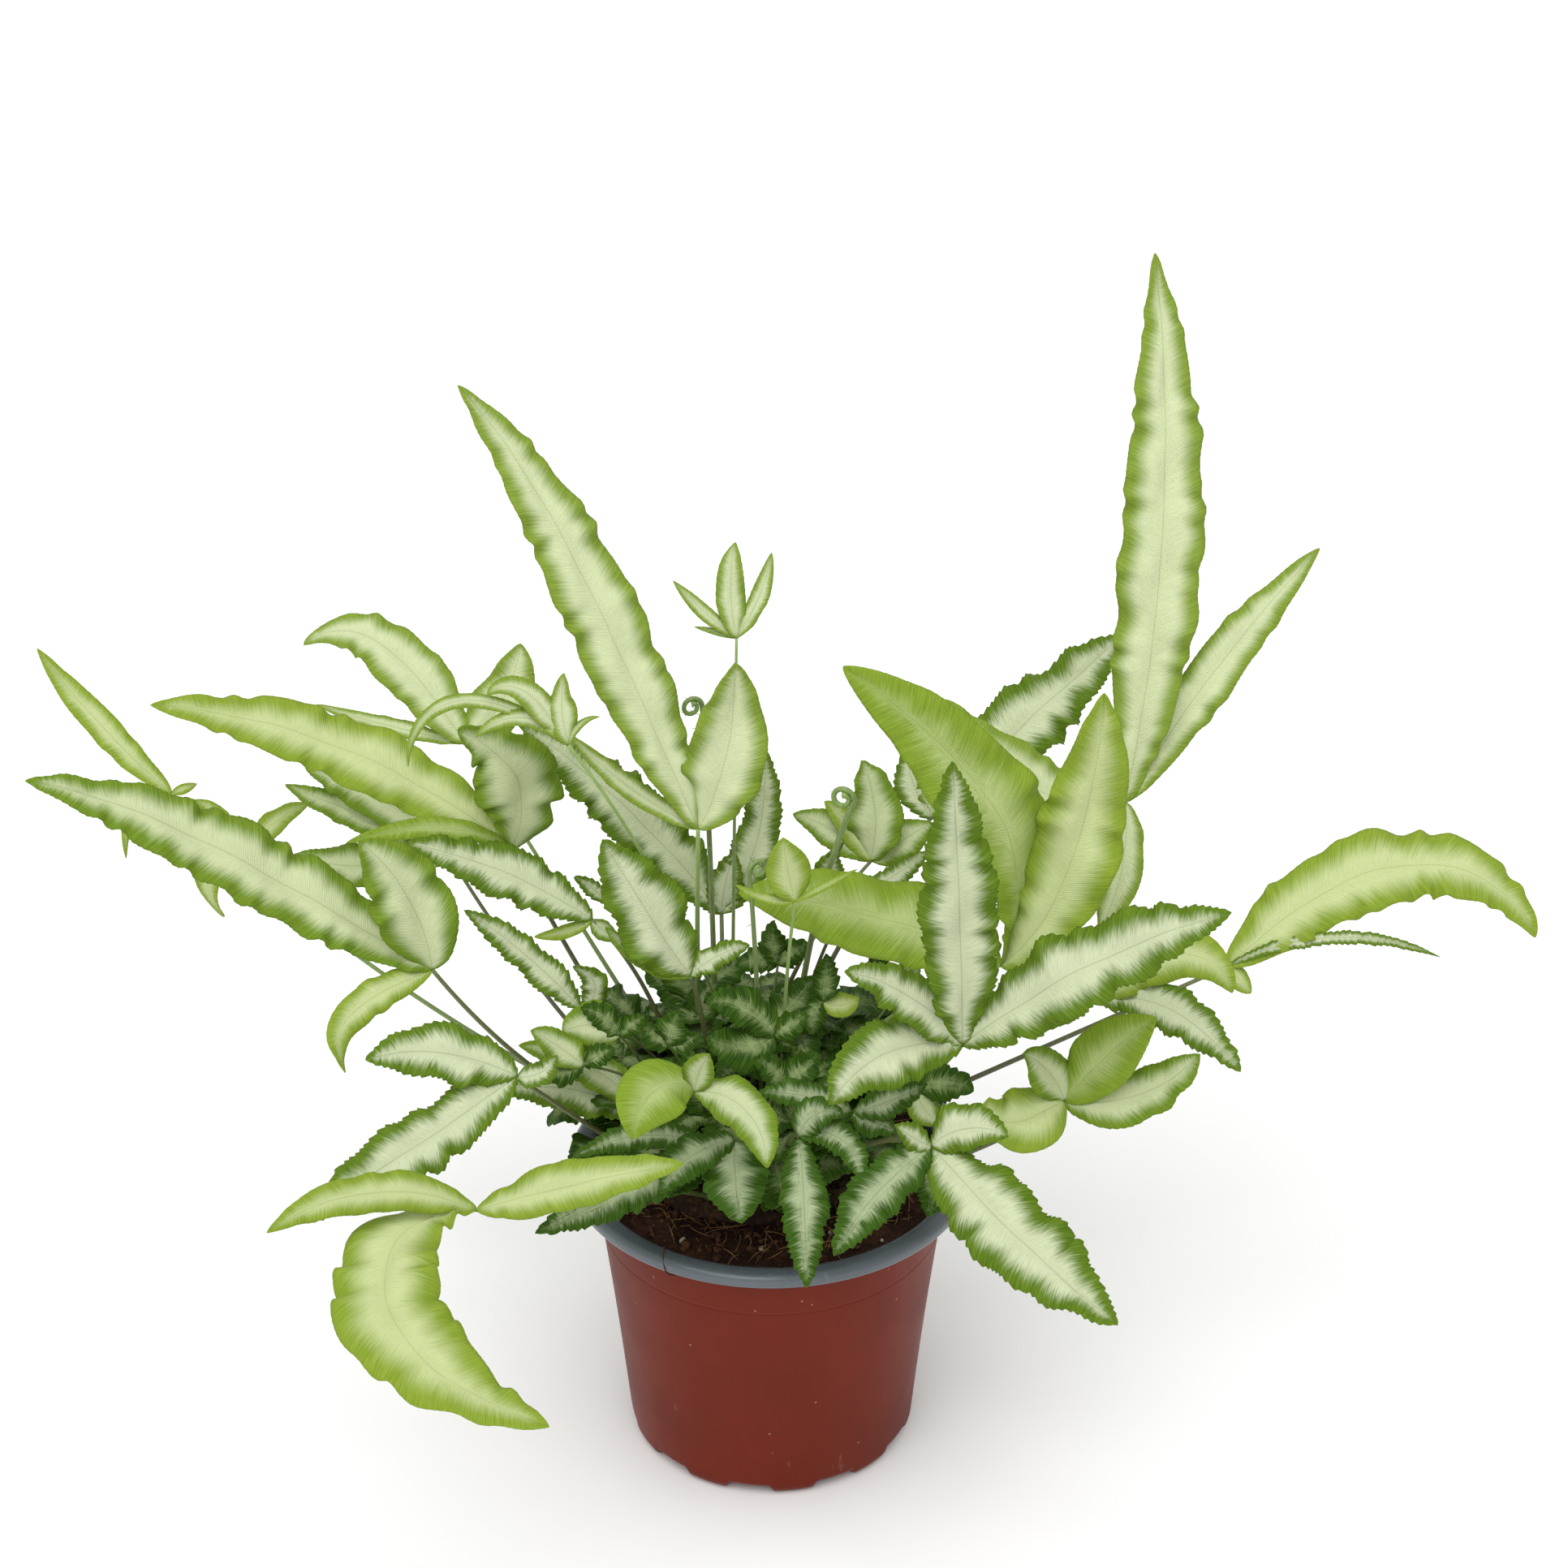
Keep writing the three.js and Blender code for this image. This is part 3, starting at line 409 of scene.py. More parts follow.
def make_hanging_fibre():
    """A long dark fibre that lies over the lip and hangs down the wall: a smooth line through places given
    by the angle round the pot, the distance from the axis and the height."""
    turn = np.radians([-128, -126, -124, -121.5, -120, -119.5, -118.5, -118])
    wall = RIM_RADIUS - LIP_OVERHANG
    out = np.array([-9, -3, 2, 6, 7.7, 7, 1.5, 0.3]) * MM + wall
    height = np.array([-4.6, -2.8, 0.2, 0.3, -1.8, -5.0, -8.0, -11.0]) * MM + POT_TOP
    share, fine = np.linspace(0, 1, 8), np.linspace(0, 1, 60)
    knots = np.stack([out * np.cos(turn), out * np.sin(turn), height], -1)
    path = np.stack([np.interp(fine, share, knots[:, axis]) for axis in range(3)], -1)
    for _ in range(12):
        path[1:-1] = (path[:-2] + 2 * path[1:-1] + path[2:]) / 4
    parts = tube(path, HANGING_FIBRE_RADIUS * np.sin(np.pi * (0.06 + 0.88 * fine)), 8, {})
    return make_piece("hanging_fibre", *parts[:3], peat_mix("root_fibre", ROOT_DARK, ROOT_BROWN))


mix = make_mix()
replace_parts(mix, "potting_mix")
grain_rng = np.random.default_rng(5)
crumb_parts = grains(grain_rng, CRUMBS, MIX_HIGH[0] - 3 * MM, 0.4 * MM, 2.0 * MM)
crumbs = make_piece("mix_crumbs", *crumb_parts, peat_mix("bark_crumbs", PEAT, BARK_PALE))
perlite_parts = grains(grain_rng, PERLITE, MIX_HIGH[0] - 3 * MM, 0.6 * MM, 1.9 * MM)
perlite = make_piece("mix_perlite", *perlite_parts, peat_mix("perlite", PERLITE_WHITE, PERLITE_DUSTY))
for bed in (mix, crumbs, perlite, make_fibres(), make_hanging_fibre()):
    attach(bed, "root")

# ------------------------------------------------------------
# Crown: the knot of short creeping rhizomes that the fronds grow from. It is dark, lumpy and covered in
# narrow brown scales, and it lies half sunk in the mix.
CROWN_LOW, CROWN_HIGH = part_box("crown")
CROWN_X, CROWN_Y = (CROWN_LOW[0] + CROWN_HIGH[0]) / 2, (CROWN_LOW[1] + CROWN_HIGH[1]) / 2
CROWN_RADIUS = (CROWN_HIGH[0] - CROWN_LOW[0]) / 2
CROWN_BASE = CROWN_LOW[2]
CROWN_HEIGHT = CROWN_HIGH[2] - CROWN_LOW[2]
CROWN_EDGE = 1.2 * MM
CROWN_SINK = 1.2 * MM
CROWN_SIDES = 160
CROWN_RINGS = 60
SCALES = 900
SCALE_RADIUS = 0.24 * MM
RHIZOME_DARK = "#33231A"
RHIZOME_PALE = "#5A4330"
SCALE_BROWN = "#6B4A2E"
SCALE_DARK = "#3B281C"


def crown_top(x, y):
    """Height of the crown over (x, y): a flat dome, half an ellipse of its radius and height."""
    share = np.clip(1 - np.hypot(x - CROWN_X, y - CROWN_Y) ** 2 / CROWN_RADIUS**2, 0, 1)
    return CROWN_BASE + CROWN_EDGE + (CROWN_HEIGHT - CROWN_EDGE) * np.sqrt(share)


def make_crown():
    """The dome with coarse and fine lumps on it, sunk a little, and a flat underside that closes it."""
    out = CROWN_RADIUS * np.sin(np.linspace(0.01, np.pi / 2, CROWN_RINGS))[::-1]
    points = revolve(np.stack([out, np.zeros(CROWN_RINGS)], -1), CROWN_SIDES)
    points[..., 0] += CROWN_X
    points[..., 1] += CROWN_Y
    x, y = points[..., 0], points[..., 1]
    swell = 0.9 * MM * lumps(x, y, 9 * MM, 8) + 0.4 * MM * lumps(x, y, 3 * MM, 9)
    points[..., 2] = crown_top(x, y) + swell - CROWN_SINK
    base = points[:1].copy()
    base[..., 2] = CROWN_BASE + 0.05 * MM
    inner = base.copy()
    inner[..., 0] = CROWN_X + (inner[..., 0] - CROWN_X) * 0.01
    inner[..., 1] = CROWN_Y + (inner[..., 1] - CROWN_Y) * 0.01
    points = np.concatenate([inner, base, points])
    rhizome = peat_mix("rhizome_skin", RHIZOME_DARK, RHIZOME_PALE)
    return make_piece("rhizome_knot", points.reshape(-1, 3), *ring_faces(len(points), CROWN_SIDES), rhizome)


def make_scales():
    """Scales at random places on the crown: short arcs that stand up, lean outwards and bend over."""
    rng = np.random.default_rng(21)
    x, y = scatter(rng, SCALES, CROWN_RADIUS - 2 * MM)
    x, y = x + CROWN_X, y + CROWN_Y
    turn = rng.uniform(0, 2 * np.pi, SCALES)
    ways = np.stack([0.5 * np.cos(turn), 0.5 * np.sin(turn), rng.uniform(0.5, 1, SCALES)], -1)
    bends = np.stack([0.5 * np.cos(turn), 0.5 * np.sin(turn), -0.8 * ways[:, 2]], -1)
    starts = np.stack([x, y, crown_top(x, y) - CROWN_SINK], -1)
    parts = threads(starts, ways, bends, rng.uniform(2, 5.5, SCALES) * MM, SCALE_RADIUS)
    return make_piece("rhizome_scales", *parts, peat_mix("rhizome_scale", SCALE_BROWN, SCALE_DARK))


crown = make_crown()
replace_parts(crown, "crown")
for part in (crown, make_scales()):
    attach(part, "root")

# ------------------------------------------------------------
# Fronds: each is one leaf that grew as a piece, a wiry stipe with a hand of ribbon-shaped pinnae at its top.
# Young ones are lime and smooth with wavy edges, old ones are darker with toothed edges. A pale band with a
# feathered edge runs down the middle of every pinna, along the veins that leave the midrib side by side. The
# leaves low in the plant and under the others have darker tones, partly as painted shade.
BLADE_THICKNESS = 0.34 * MM
EDGE_THICKNESS = 0.14 * MM
MIDRIB_WIDTH = 0.45 * MM
MIDRIB_DEPTH = 0.22 * MM
PETIOLE_HALF_WIDTH = 0.4 * MM
TIP_HALF_WIDTH = 0.06 * MM
ROW_STEP = 0.45 * MM
VEIN_SPACING = 0.6 * MM
VEIN_LEAN = 0.5
STIPE_SIDES = 10
STIPE_ROWS = 40
WIDE_COLUMNS = 15
NARROW_COLUMNS = 9
NARROW = 14
FULLNESS = 1.16
LANCE_SHIFT = 0.85
LANCE_FULLNESS = 0.7
FOOT_CLEARANCE = 0.3 * MM
ROOT_DEPTH = 1.2 * MM
LEAF_IOR = 1.42
LIGHT_THROUGH = 0.28
UNDERSIDE = "#9AB05A"
STIPE_OLD = ("#3D3324", "#66703F")
STIPE_YOUNG = ("#5E6B3A", "#8FAE5C")
YOUNG_TONES = ("lime", "tall", "plain")
BOW = (0.3, 0.7)

# What each tone of pinna looks like: its margin's colour, a shade of it and the band's colour; the green
# margin's width as a share of the half width, how softly it ends and how far streaks reach over its end, in
# margin widths; how far the edge waves out of the blade's plane and in it, as shares of the half width, and
# the wave's length; and the depth and spacing of its teeth. Lengths in millimetres.
TONES = {
    "lime": dict(edge="#A1B842", shade="#8BA630", band="#DBE5AC",
        margin=0.25, soft=2.1, comb=0.8, ruffle=0.2, lobe=0.04, wave=12, tooth=0.12, gap=2.2),
    "tall": dict(edge="#9BB446", shade="#849F36", band="#E4ECC2",
        margin=0.21, soft=1.9, comb=0.7, ruffle=0.2, lobe=0.045, wave=12, tooth=0.15, gap=2.2),
    "mid": dict(edge="#88A534", shade="#6F8E22", band="#DDE6BA",
        margin=0.25, soft=1.7, comb=0.9, ruffle=0.24, lobe=0.065, wave=11, tooth=0.3, gap=2.2),
    "dark": dict(edge="#779529", shade="#5B7A1A", band="#E2E9C6",
        margin=0.31, soft=1.35, comb=1.1, ruffle=0.28, lobe=0.1, wave=11, tooth=0.85, gap=2.3),
    # shady and deep: dark greens that are partly painted shade, for leaves low down and under the others.
    "shady": dict(edge="#517623", shade="#35560F", band="#C6D3A8",
        margin=0.42, soft=1.3, comb=1.2, ruffle=0.26, lobe=0.09, wave=10, tooth=1.0, gap=2.4),
    "deep": dict(edge="#4A7018", shade="#264209", band="#B7C98C",
        margin=0.55, soft=1.4, comb=1.2, ruffle=0.28, lobe=0.08, wave=9, tooth=1.2, gap=2.5),
    "plain": dict(edge="#9CB63E", shade="#82A02C", band="#CEDC98",
        margin=0.38, soft=2.0, comb=1.0, ruffle=0.16, lobe=0.03, wave=15, tooth=0.12, gap=2.5),
}

# One row for each frond: node, stipe radius, foot on the crown in crown radii, hub where the pinnae spread
# (x and y from the pot's axis, z above the mix), its pinnae, and the bow of its stipe if that isn't BOW.
# Each pinna has a tone, heading and rise of its first stretch, length, droop and turn over that length,
# width, and roll about its midrib. Some have a lateness (above 1, it bends towards the tip), and some a
# place on the stipe below the hub. Millimetres and degrees.
FRONDS = [
    ["frond_tall_left", 0.8, [-0.47, 0.47], [-21, 25, 102], [
        ["tall", 144, 61, 145, 15, 20, 19, 35, 3], ["tall", 10, 61, 52, -25, 75, 20, -35],
        ["tall", 161, 19, 47, -15, -15, 6, 35],
    ]],
    ["frond_young_top", 0.55, [-0.18, 0.82], [-10, 58, 147], [
        ["tall", 158, 29, 25, -10, -10, 4, 35], ["tall", 119, 63, 28, 0, -55, 8, 5],
        ["tall", 32, 47, 27, -15, 35, 5, -25], ["tall", 160, 10, 13, 5, 5, 2, 35],
    ], [0.5, 0.5]],
    ["frond_long_dark", 0.8, [-0.24, 0.59], [-15, 52, 57], [
        ["dark", 146, 43, 85, 15, 15, 17, 35], ["dark", 24, 49, 53, -20, 80, 12, -20],
        ["dark", 83, 66, 19, 10, -40, 10, -15],
    ]],
    ["frond_young_left", 0.6, [0.06, 0.41], [-57, 15, 135], [
        ["tall", 164, 58, 32, 100, 60, 7, 45, 3], ["tall", 146, 72, 21, -5, -95, 7, 10],
        ["tall", 46, 72, 13, 65, -55, 2, -40], ["tall", 173, 38, 61, 110, 95, 4, 40, 2],
        ["tall", 166, 58, 31, 90, 55, 5, 40],
    ], [0.4, 0.6]],
    ["frond_back_left_upper", 0.7, [-0.56, 0.71], [-93, 88, 96], [
        ["tall", 134, 34, 70, 75, 60, 16, 30, 3], ["tall", 156, -2, 54, -5, -5, 5, 35],
        ["tall", 28, 29, 36, -25, 50, 15, -25],
    ], [0.5, 0.5]],
    ["frond_left_upper_long", 0.8, [-0.65, 0.12], [-76, 36, 89], [
        ["lime", 156, 32, 117, 30, 20, 18, 35], ["mid", 65, 48, 47, -125, -95, 23, -85],
        ["plain", 175, 46, 50, 55, 25, 6, 40, 0.5],
    ], [0.5, 0.45]],
    ["frond_left_behind", 0.7, [-0.82, 0.35], [-101, 82, 64], [
        ["mid", 145, 26, 52, 20, 15, 13, 35], ["mid", 156, 6, 56, -5, 0, 10, 35],
        ["mid", 170, -33, 56, -35, -20, 14, 40],
    ], [0.6, 0.35]],
    ["frond_left_mid", 0.8, [-0.71, -0.12], [-96, -10, 76], [
        ["mid", 175, 33, 126, 20, 10, 19, 40, 3], ["mid", 161, 86, 47, 40, 30, 20, 60],
        ["lime", -151, -9, 46, 45, 115, 9, 30, 3],
    ], [0.6, 0.35]],
    ["frond_far_left", 0.7, [-0.88, 0.18], [-179, 62, 93], [
        ["lime", 154, 32, 60, -10, -10, 8, 35], ["lime", 22, 12, 8, 0, 0, 3, -35],
        ["lime", 122, 42, 30, 125, 155, 3, 25, 0.5], ["lime", -133, -4, 26, 170, -115, 7, 85, 1, 0.85],
        ["lime", 99, 67, 21, 55, 85, 5, 30, 1, 0.85], ["lime", 46, 50, 27, 35, -35, 7, -35, 1, 0.82],
    ], [0.62, 0.35]],
    ["frond_left_low_dark", 0.8, [-0.76, -0.41], [-71, -36, 57], [
        ["dark", 178, 33, 44, 40, 20, 15, 40], ["dark", -142, -16, 75, -5, 0, 16, 30],
        ["dark", -20, 2, 15, -65, 30, 7, -45],
    ], [0.5, 0.45]],
    ["frond_front_left", 0.8, [-0.35, -0.82], [-80, -76, 40], [
        ["lime", -172, 34, 62, 50, 30, 10, 40], ["lime", 157, 9, 117, 20, 190, 25, -10, 0.5],
        ["lime", -16, 28, 67, 5, -5, 12, -45],
    ], [0.45, 0.75]],
    ["frond_left_front_dark", 0.7, [-0.18, -0.76], [-16, -41, 37], [
        ["shady", -151, -13, 57, -5, 0, 12, 35], ["shady", -180, 25, 42, 45, 25, 7, 40],
    ]],
    ["frond_mid_left_wavy", 0.7, [-0.53, 0.29], [-52, 19, 75], [
        ["dark", 164, 31, 59, 20, 15, 14, 40], ["lime", -170, -30, 18, -25, -15, 4, 40],
        ["mid", -26, -51, 10, -40, 25, 5, -40],
    ]],
    ["frond_lower_left_twist", 0.6, [-0.41, 0], [-55, 2, 55], [
        ["dark", 164, 49, 45, 15, 10, 9, 45], ["dark", 14, 23, 19, -150, -20, 7, -85],
    ]],
    ["frond_centre_left", 0.8, [-0.29, -0.12], [-23, -4, 70], [
        ["dark", 168, 57, 49, -5, 0, 19, 50], ["mid", -176, 17, 29, -30, -20, 6, 40],
        ["dark", 14, 45, 20, 30, -20, 7, -40],
    ]],
    ["frond_small_left_back", 0.55, [-0.44, 0.65], [-50, 58, 57], [
        ["dark", 140, 45, 13, 30, 25, 5, 35], ["dark", 16, 14, 13, -15, 15, 6, -35],
    ]],
    ["frond_young_centre", 0.6, [0.24, -0.35], [7, -14, 101], [
        ["lime", 161, 74, 20, -10, -15, 11, 55], ["lime", 1, 31, 20, 0, 0, 2, -45],
        ["lime", -171, 4, 18, -30, -15, 3, 40],
    ]],
    ["frond_centre_right_dark", 0.8, [0.53, -0.35], [53, -46, 74], [
        ["dark", 60, 94, 95, -5, 0, 18, -35], ["dark", -4, 45, 87, 20, -10, 20, -45],
        ["dark", -164, 23, 48, 50, 40, 17, 35], ["dark", 179, 57, 44, 35, 20, 13, 50],
    ]],
    ["frond_centre_right_lime", 0.8, [0.41, 0.12], [66, 2, 70], [
        ["plain", 167, 33, 79, 25, 15, 22, 40, 0.5], ["plain", 68, 34, 113, -125, -100, 24, -120, 0.5],
        ["lime", -21, 36, 90, -50, 80, 22, -40, 0.5],
    ]],
    ["frond_tall_right", 0.8, [0.65, 0.47], [104, 46, 99], [
        ["tall", 61, 65, 161, 0, 45, 21, -5], ["tall", 36, 50, 94, 10, -10, 13, -35],
        ["tall", -179, -7, 65, -60, -45, 19, 35], ["tall", -76, -67, 40, -10, -75, 11, 15],
    ]],
    ["frond_back_right_dark", 0.8, [0.24, 0.76], [49, 84, 72], [
        ["dark", 37, 32, 86, 5, -5, 21, -30], ["dark", 143, 40, 23, -20, -45, 10, 20],
        ["mid", 67, 56, 21, 5, 60, 9, 5],
    ]],
    ["frond_centre_back", 0.7, [0, 0.71], [30, 58, 72], [
        ["mid", 59, 64, 31, 5, 85, 15, 5], ["mid", 147, 35, 28, 25, 20, 10, 35],
        ["lime", 133, 52, 23, 20, 25, 8, 30], ["mid", 25, 26, 22, 5, -5, 11, -35],
    ]],
    ["frond_centre_back_small", 0.6, [0.29, 0.41], [23, 24, 78], [
        ["dark", 149, 16, 23, -140, 75, 8, 80], ["dark", 12, 27, 28, -5, 5, 7, -40],
        ["dark", -169, -17, 16, -75, -45, 7, 40],
    ]],
    ["frond_far_right", 0.8, [0.82, 0.06], [135, 30, 52], [
        ["lime", 28, 31, 113, 95, -60, 21, -35, 2], ["dark", 12, 26, 65, 45, -25, 4, -40],
        ["lime", 157, 22, 12, 50, 30, 5, 40], ["lime", -16, -42, 11, 5, -5, 6, -40],
    ], [0.5, 0.5]],
    ["frond_right_mid", 0.7, [0.76, -0.18], [91, -14, 68], [
        ["lime", 18, 40, 49, 105, -70, 14, -40, 2], ["dark", 7, 37, 50, 75, -50, 12, -35, 0.5],
        ["mid", -177, 2, 23, 40, 25, 10, 35],
    ]],
    ["frond_right_low", 0.8, [0.74, -0.59], [82, -42, 53], [
        ["lime", -147, -10, 30, -120, -60, 17, 35, 3], ["mid", -22, 2, 43, -50, 30, 14, -40],
        ["plain", -4, 58, 38, 15, -5, 16, -55], ["mid", 174, 76, 21, 45, 20, 12, 55],
    ], [0.6, 0.35]],
    ["frond_front_right", 0.8, [0.59, -0.76], [44, -70, 57], [
        ["dark", -57, -13, 80, -10, 5, 20, -25], ["shady", -136, -4, 47, 15, 20, 13, 25],
        ["dark", 1, 52, 24, 65, -35, 12, -40], ["dark", -161, 31, 14, -20, -5, 7, 50],
    ]],
    ["frond_front_centre_droop", 0.6, [0.24, -0.82], [8, -60, 53], [
        ["shady", -85, -26, 46, 0, -5, 11, 0], ["shady", -9, 37, 29, 90, -75, 8, -30],
        ["shady", 4, 86, 18, 95, -35, 9, -50],
    ]],
    ["frond_front_centre_arch", 0.6, [-0.06, -0.71], [-21, -48, 60], [
        ["mid", -18, 15, 37, 55, -70, 12, -25], ["plain", 171, 75, 32, 115, 90, 17, 25, 0.5],
        ["mid", 165, 96, 14, -25, 0, 8, 95],
    ]],
    ["frond_front_shade", 0.6, [0.12, -0.94], [-10, -44, 41], [
        ["shady", -92, -32, 25, 0, 15, 16, -5], ["shady", -157, 10, 29, 40, 40, 11, 30],
    ]],
    ["frond_front_small_right", 0.6, [0.47, -0.65], [23, -42, 49], [
        ["shady", -178, 32, 29, 25, 15, 8, 40], ["shady", -29, -4, 14, 5, -5, 9, -35],
        ["shady", -11, 22, 24, -15, 5, 8, -45],
    ]],
    ["frond_left_front_wavy", 0.6, [-0.47, -0.53], [-38, -19, 33], [
        ["dark", 172, 30, 42, 35, 20, 12, 40], ["mid", 158, 76, 43, 60, 35, 10, 45, 0.5],
    ]],
    # The small fronds below are mostly deep tone: a dark green that is partly painted shade.
    ["small_left_serrated", 0.5, [-0.71, -0.24], [-43, -14, 56], [
        ["mid", 174, 42, 18, 60, 35, 12, 40], ["deep", 163, 60, 15, 40, 25, 7, 45],
        ["deep", 6, 47, 10, 5, 0, 6, -45],
    ]],
    ["small_left_low", 0.5, [-0.47, -0.24], [-53, -26, 54], [
        ["mid", 177, 48, 19, 15, 10, 9, 45], ["deep", -156, -5, 16, -25, -15, 8, 40],
        ["deep", 2, 41, 11, 15, -5, 6, -45],
    ]],
    ["small_trefoil", 0.5, [-0.35, -0.41], [-29, -16, 54], [
        ["deep", -179, 36, 11, -15, -10, 7, 45], ["deep", -149, 96, 12, -20, -15, 8, 130],
        ["deep", -3, 19, 10, -10, 5, 7, -40],
    ]],
    ["small_centre_broad", 0.5, [-0.12, -0.41], [1, -20, 60], [
        ["deep", -150, -19, 21, -55, -30, 13, 40], ["deep", 159, 63, 24, 65, 40, 11, 45],
        ["deep", 0, 37, 12, -5, 0, 7, -45],
    ]],
    ["small_centre_back", 0.5, [0.12, 0.06], [2, 18, 60], [
        ["deep", 152, 68, 14, -10, -100, 7, 15], ["deep", 165, 16, 13, 40, 20, 7, 40],
        ["deep", 23, 46, 12, 35, -20, 7, -40],
    ]],
    ["small_centre_right", 0.5, [0.41, -0.18], [15, 0, 59], [
        ["deep", 42, 75, 15, -10, 60, 7, -15], ["lime", -15, -23, 11, -60, 30, 7, -40],
        ["deep", -159, -30, 11, 30, 100, 7, 15],
    ]],
    ["small_right_back", 0.5, [0.53, 0.24], [36, 30, 45], [
        ["deep", 165, 41, 13, -30, -35, 7, 35], ["mid", 26, 41, 10, 30, -20, 7, -35],
    ]],
    ["small_right_under", 0.5, [0.71, -0.41], [42, -18, 40], [
        ["deep", 11, 30, 17, 55, -30, 10, -40], ["deep", 164, 45, 14, 60, 35, 8, 40],
        ["mid", -74, -49, 12, -35, 50, 8, -25],
    ]],
    ["small_front_right_rim", 0.5, [0.68, -0.76], [44, -36, 26], [
        ["deep", -50, -34, 15, 5, -80, 9, 0], ["deep", -158, 1, 15, 30, 25, 7, 30],
    ]],
    ["small_centre_front", 0.5, [0.06, -0.53], [4, -31, 50], [
        ["deep", 169, 70, 14, 45, 25, 8, 50], ["deep", 1, 53, 15, 10, -5, 9, -50],
        ["deep", -21, 6, 17, -25, 10, 7, -40],
    ]],
    ["small_left_inner", 0.5, [-0.24, -0.59], [-25, -30, 52], [
        ["deep", -177, 42, 14, 50, 25, 7, 40], ["deep", 2, 71, 10, 0, 0, 6, -65],
    ]],
    ["small_right_behind", 0.5, [0.59, -0.06], [55, 8, 55], [
        ["deep", 174, 37, 14, -30, -20, 6, 45], ["deep", 15, 41, 11, 15, -10, 6, -40],
    ]],
]

# Young fronds that are still coiled: node, stem radius, foot, top of the stem (measured as a hub is), and
# heading and radius of the coil.
CROZIERS = [
    ["fiddlehead_left", 0.8, [-0.3, 0.6], [-20, 50, 129], 200, 3.2],
    ["fiddlehead_centre", 0.9, [0.3, 0.25], [24, 22, 113], 160, 3.6],
    ["fiddlehead_young", 0.7, [0.1, -0.3], [-6, -8, 107], 30, 3],
]


def join(parts):
    """Several (points, loops, sizes, data) as one, with the numbering carried on."""
    points, loops, sizes, data, total = [], [], [], {}, 0
    for part_points, part_loops, part_sizes, part_data in parts:
        points.append(part_points)
        loops.append(part_loops + total)
        sizes.append(part_sizes)
        total += len(part_points)
        for key, values in part_data.items():
            data.setdefault(key, []).append(values)
    joined = {key: np.concatenate(values) for key, values in data.items()}
    return np.concatenate(points), np.concatenate(loops), np.concatenate(sizes), joined


def stipe_points(radius, foot_share, hub, bow, shares):
    """Points of a stipe at shares of its way: the quadratic curve from its foot on the crown to its hub,
    with the middle point drawn out and up by the bow."""
    x = CROWN_X + foot_share[0] * CROWN_RADIUS
    y = CROWN_Y + foot_share[1] * CROWN_RADIUS
    foot = np.array([x, y, crown_top(x, y) + FOOT_CLEARANCE])
    top = np.array([hub[0] * MM, hub[1] * MM, MIX_TOP + hub[2] * MM])
    middle = foot + (top - foot) * np.array([bow[0], bow[0], bow[1]])
    slope = (middle - foot) / np.linalg.norm(middle - foot)
    foot[2] += radius * MM * math.hypot(slope[0], slope[1])
    middle = foot + (top - foot) * np.array([bow[0], bow[0], bow[1]])
    t = np.asarray(shares)[:, None]
    return (1 - t) ** 2 * foot + 2 * t * (1 - t) * middle + t**2 * top


def lance(t):
    """Half width of a pinna as a share of its greatest: a sine of a power of t, which is widest before the
    middle, raised to a power below 1, which makes it fuller."""
    return np.clip(np.sin(np.pi * np.clip(t, 0, 1) ** LANCE_SHIFT), 0, 1) ** LANCE_FULLNESS


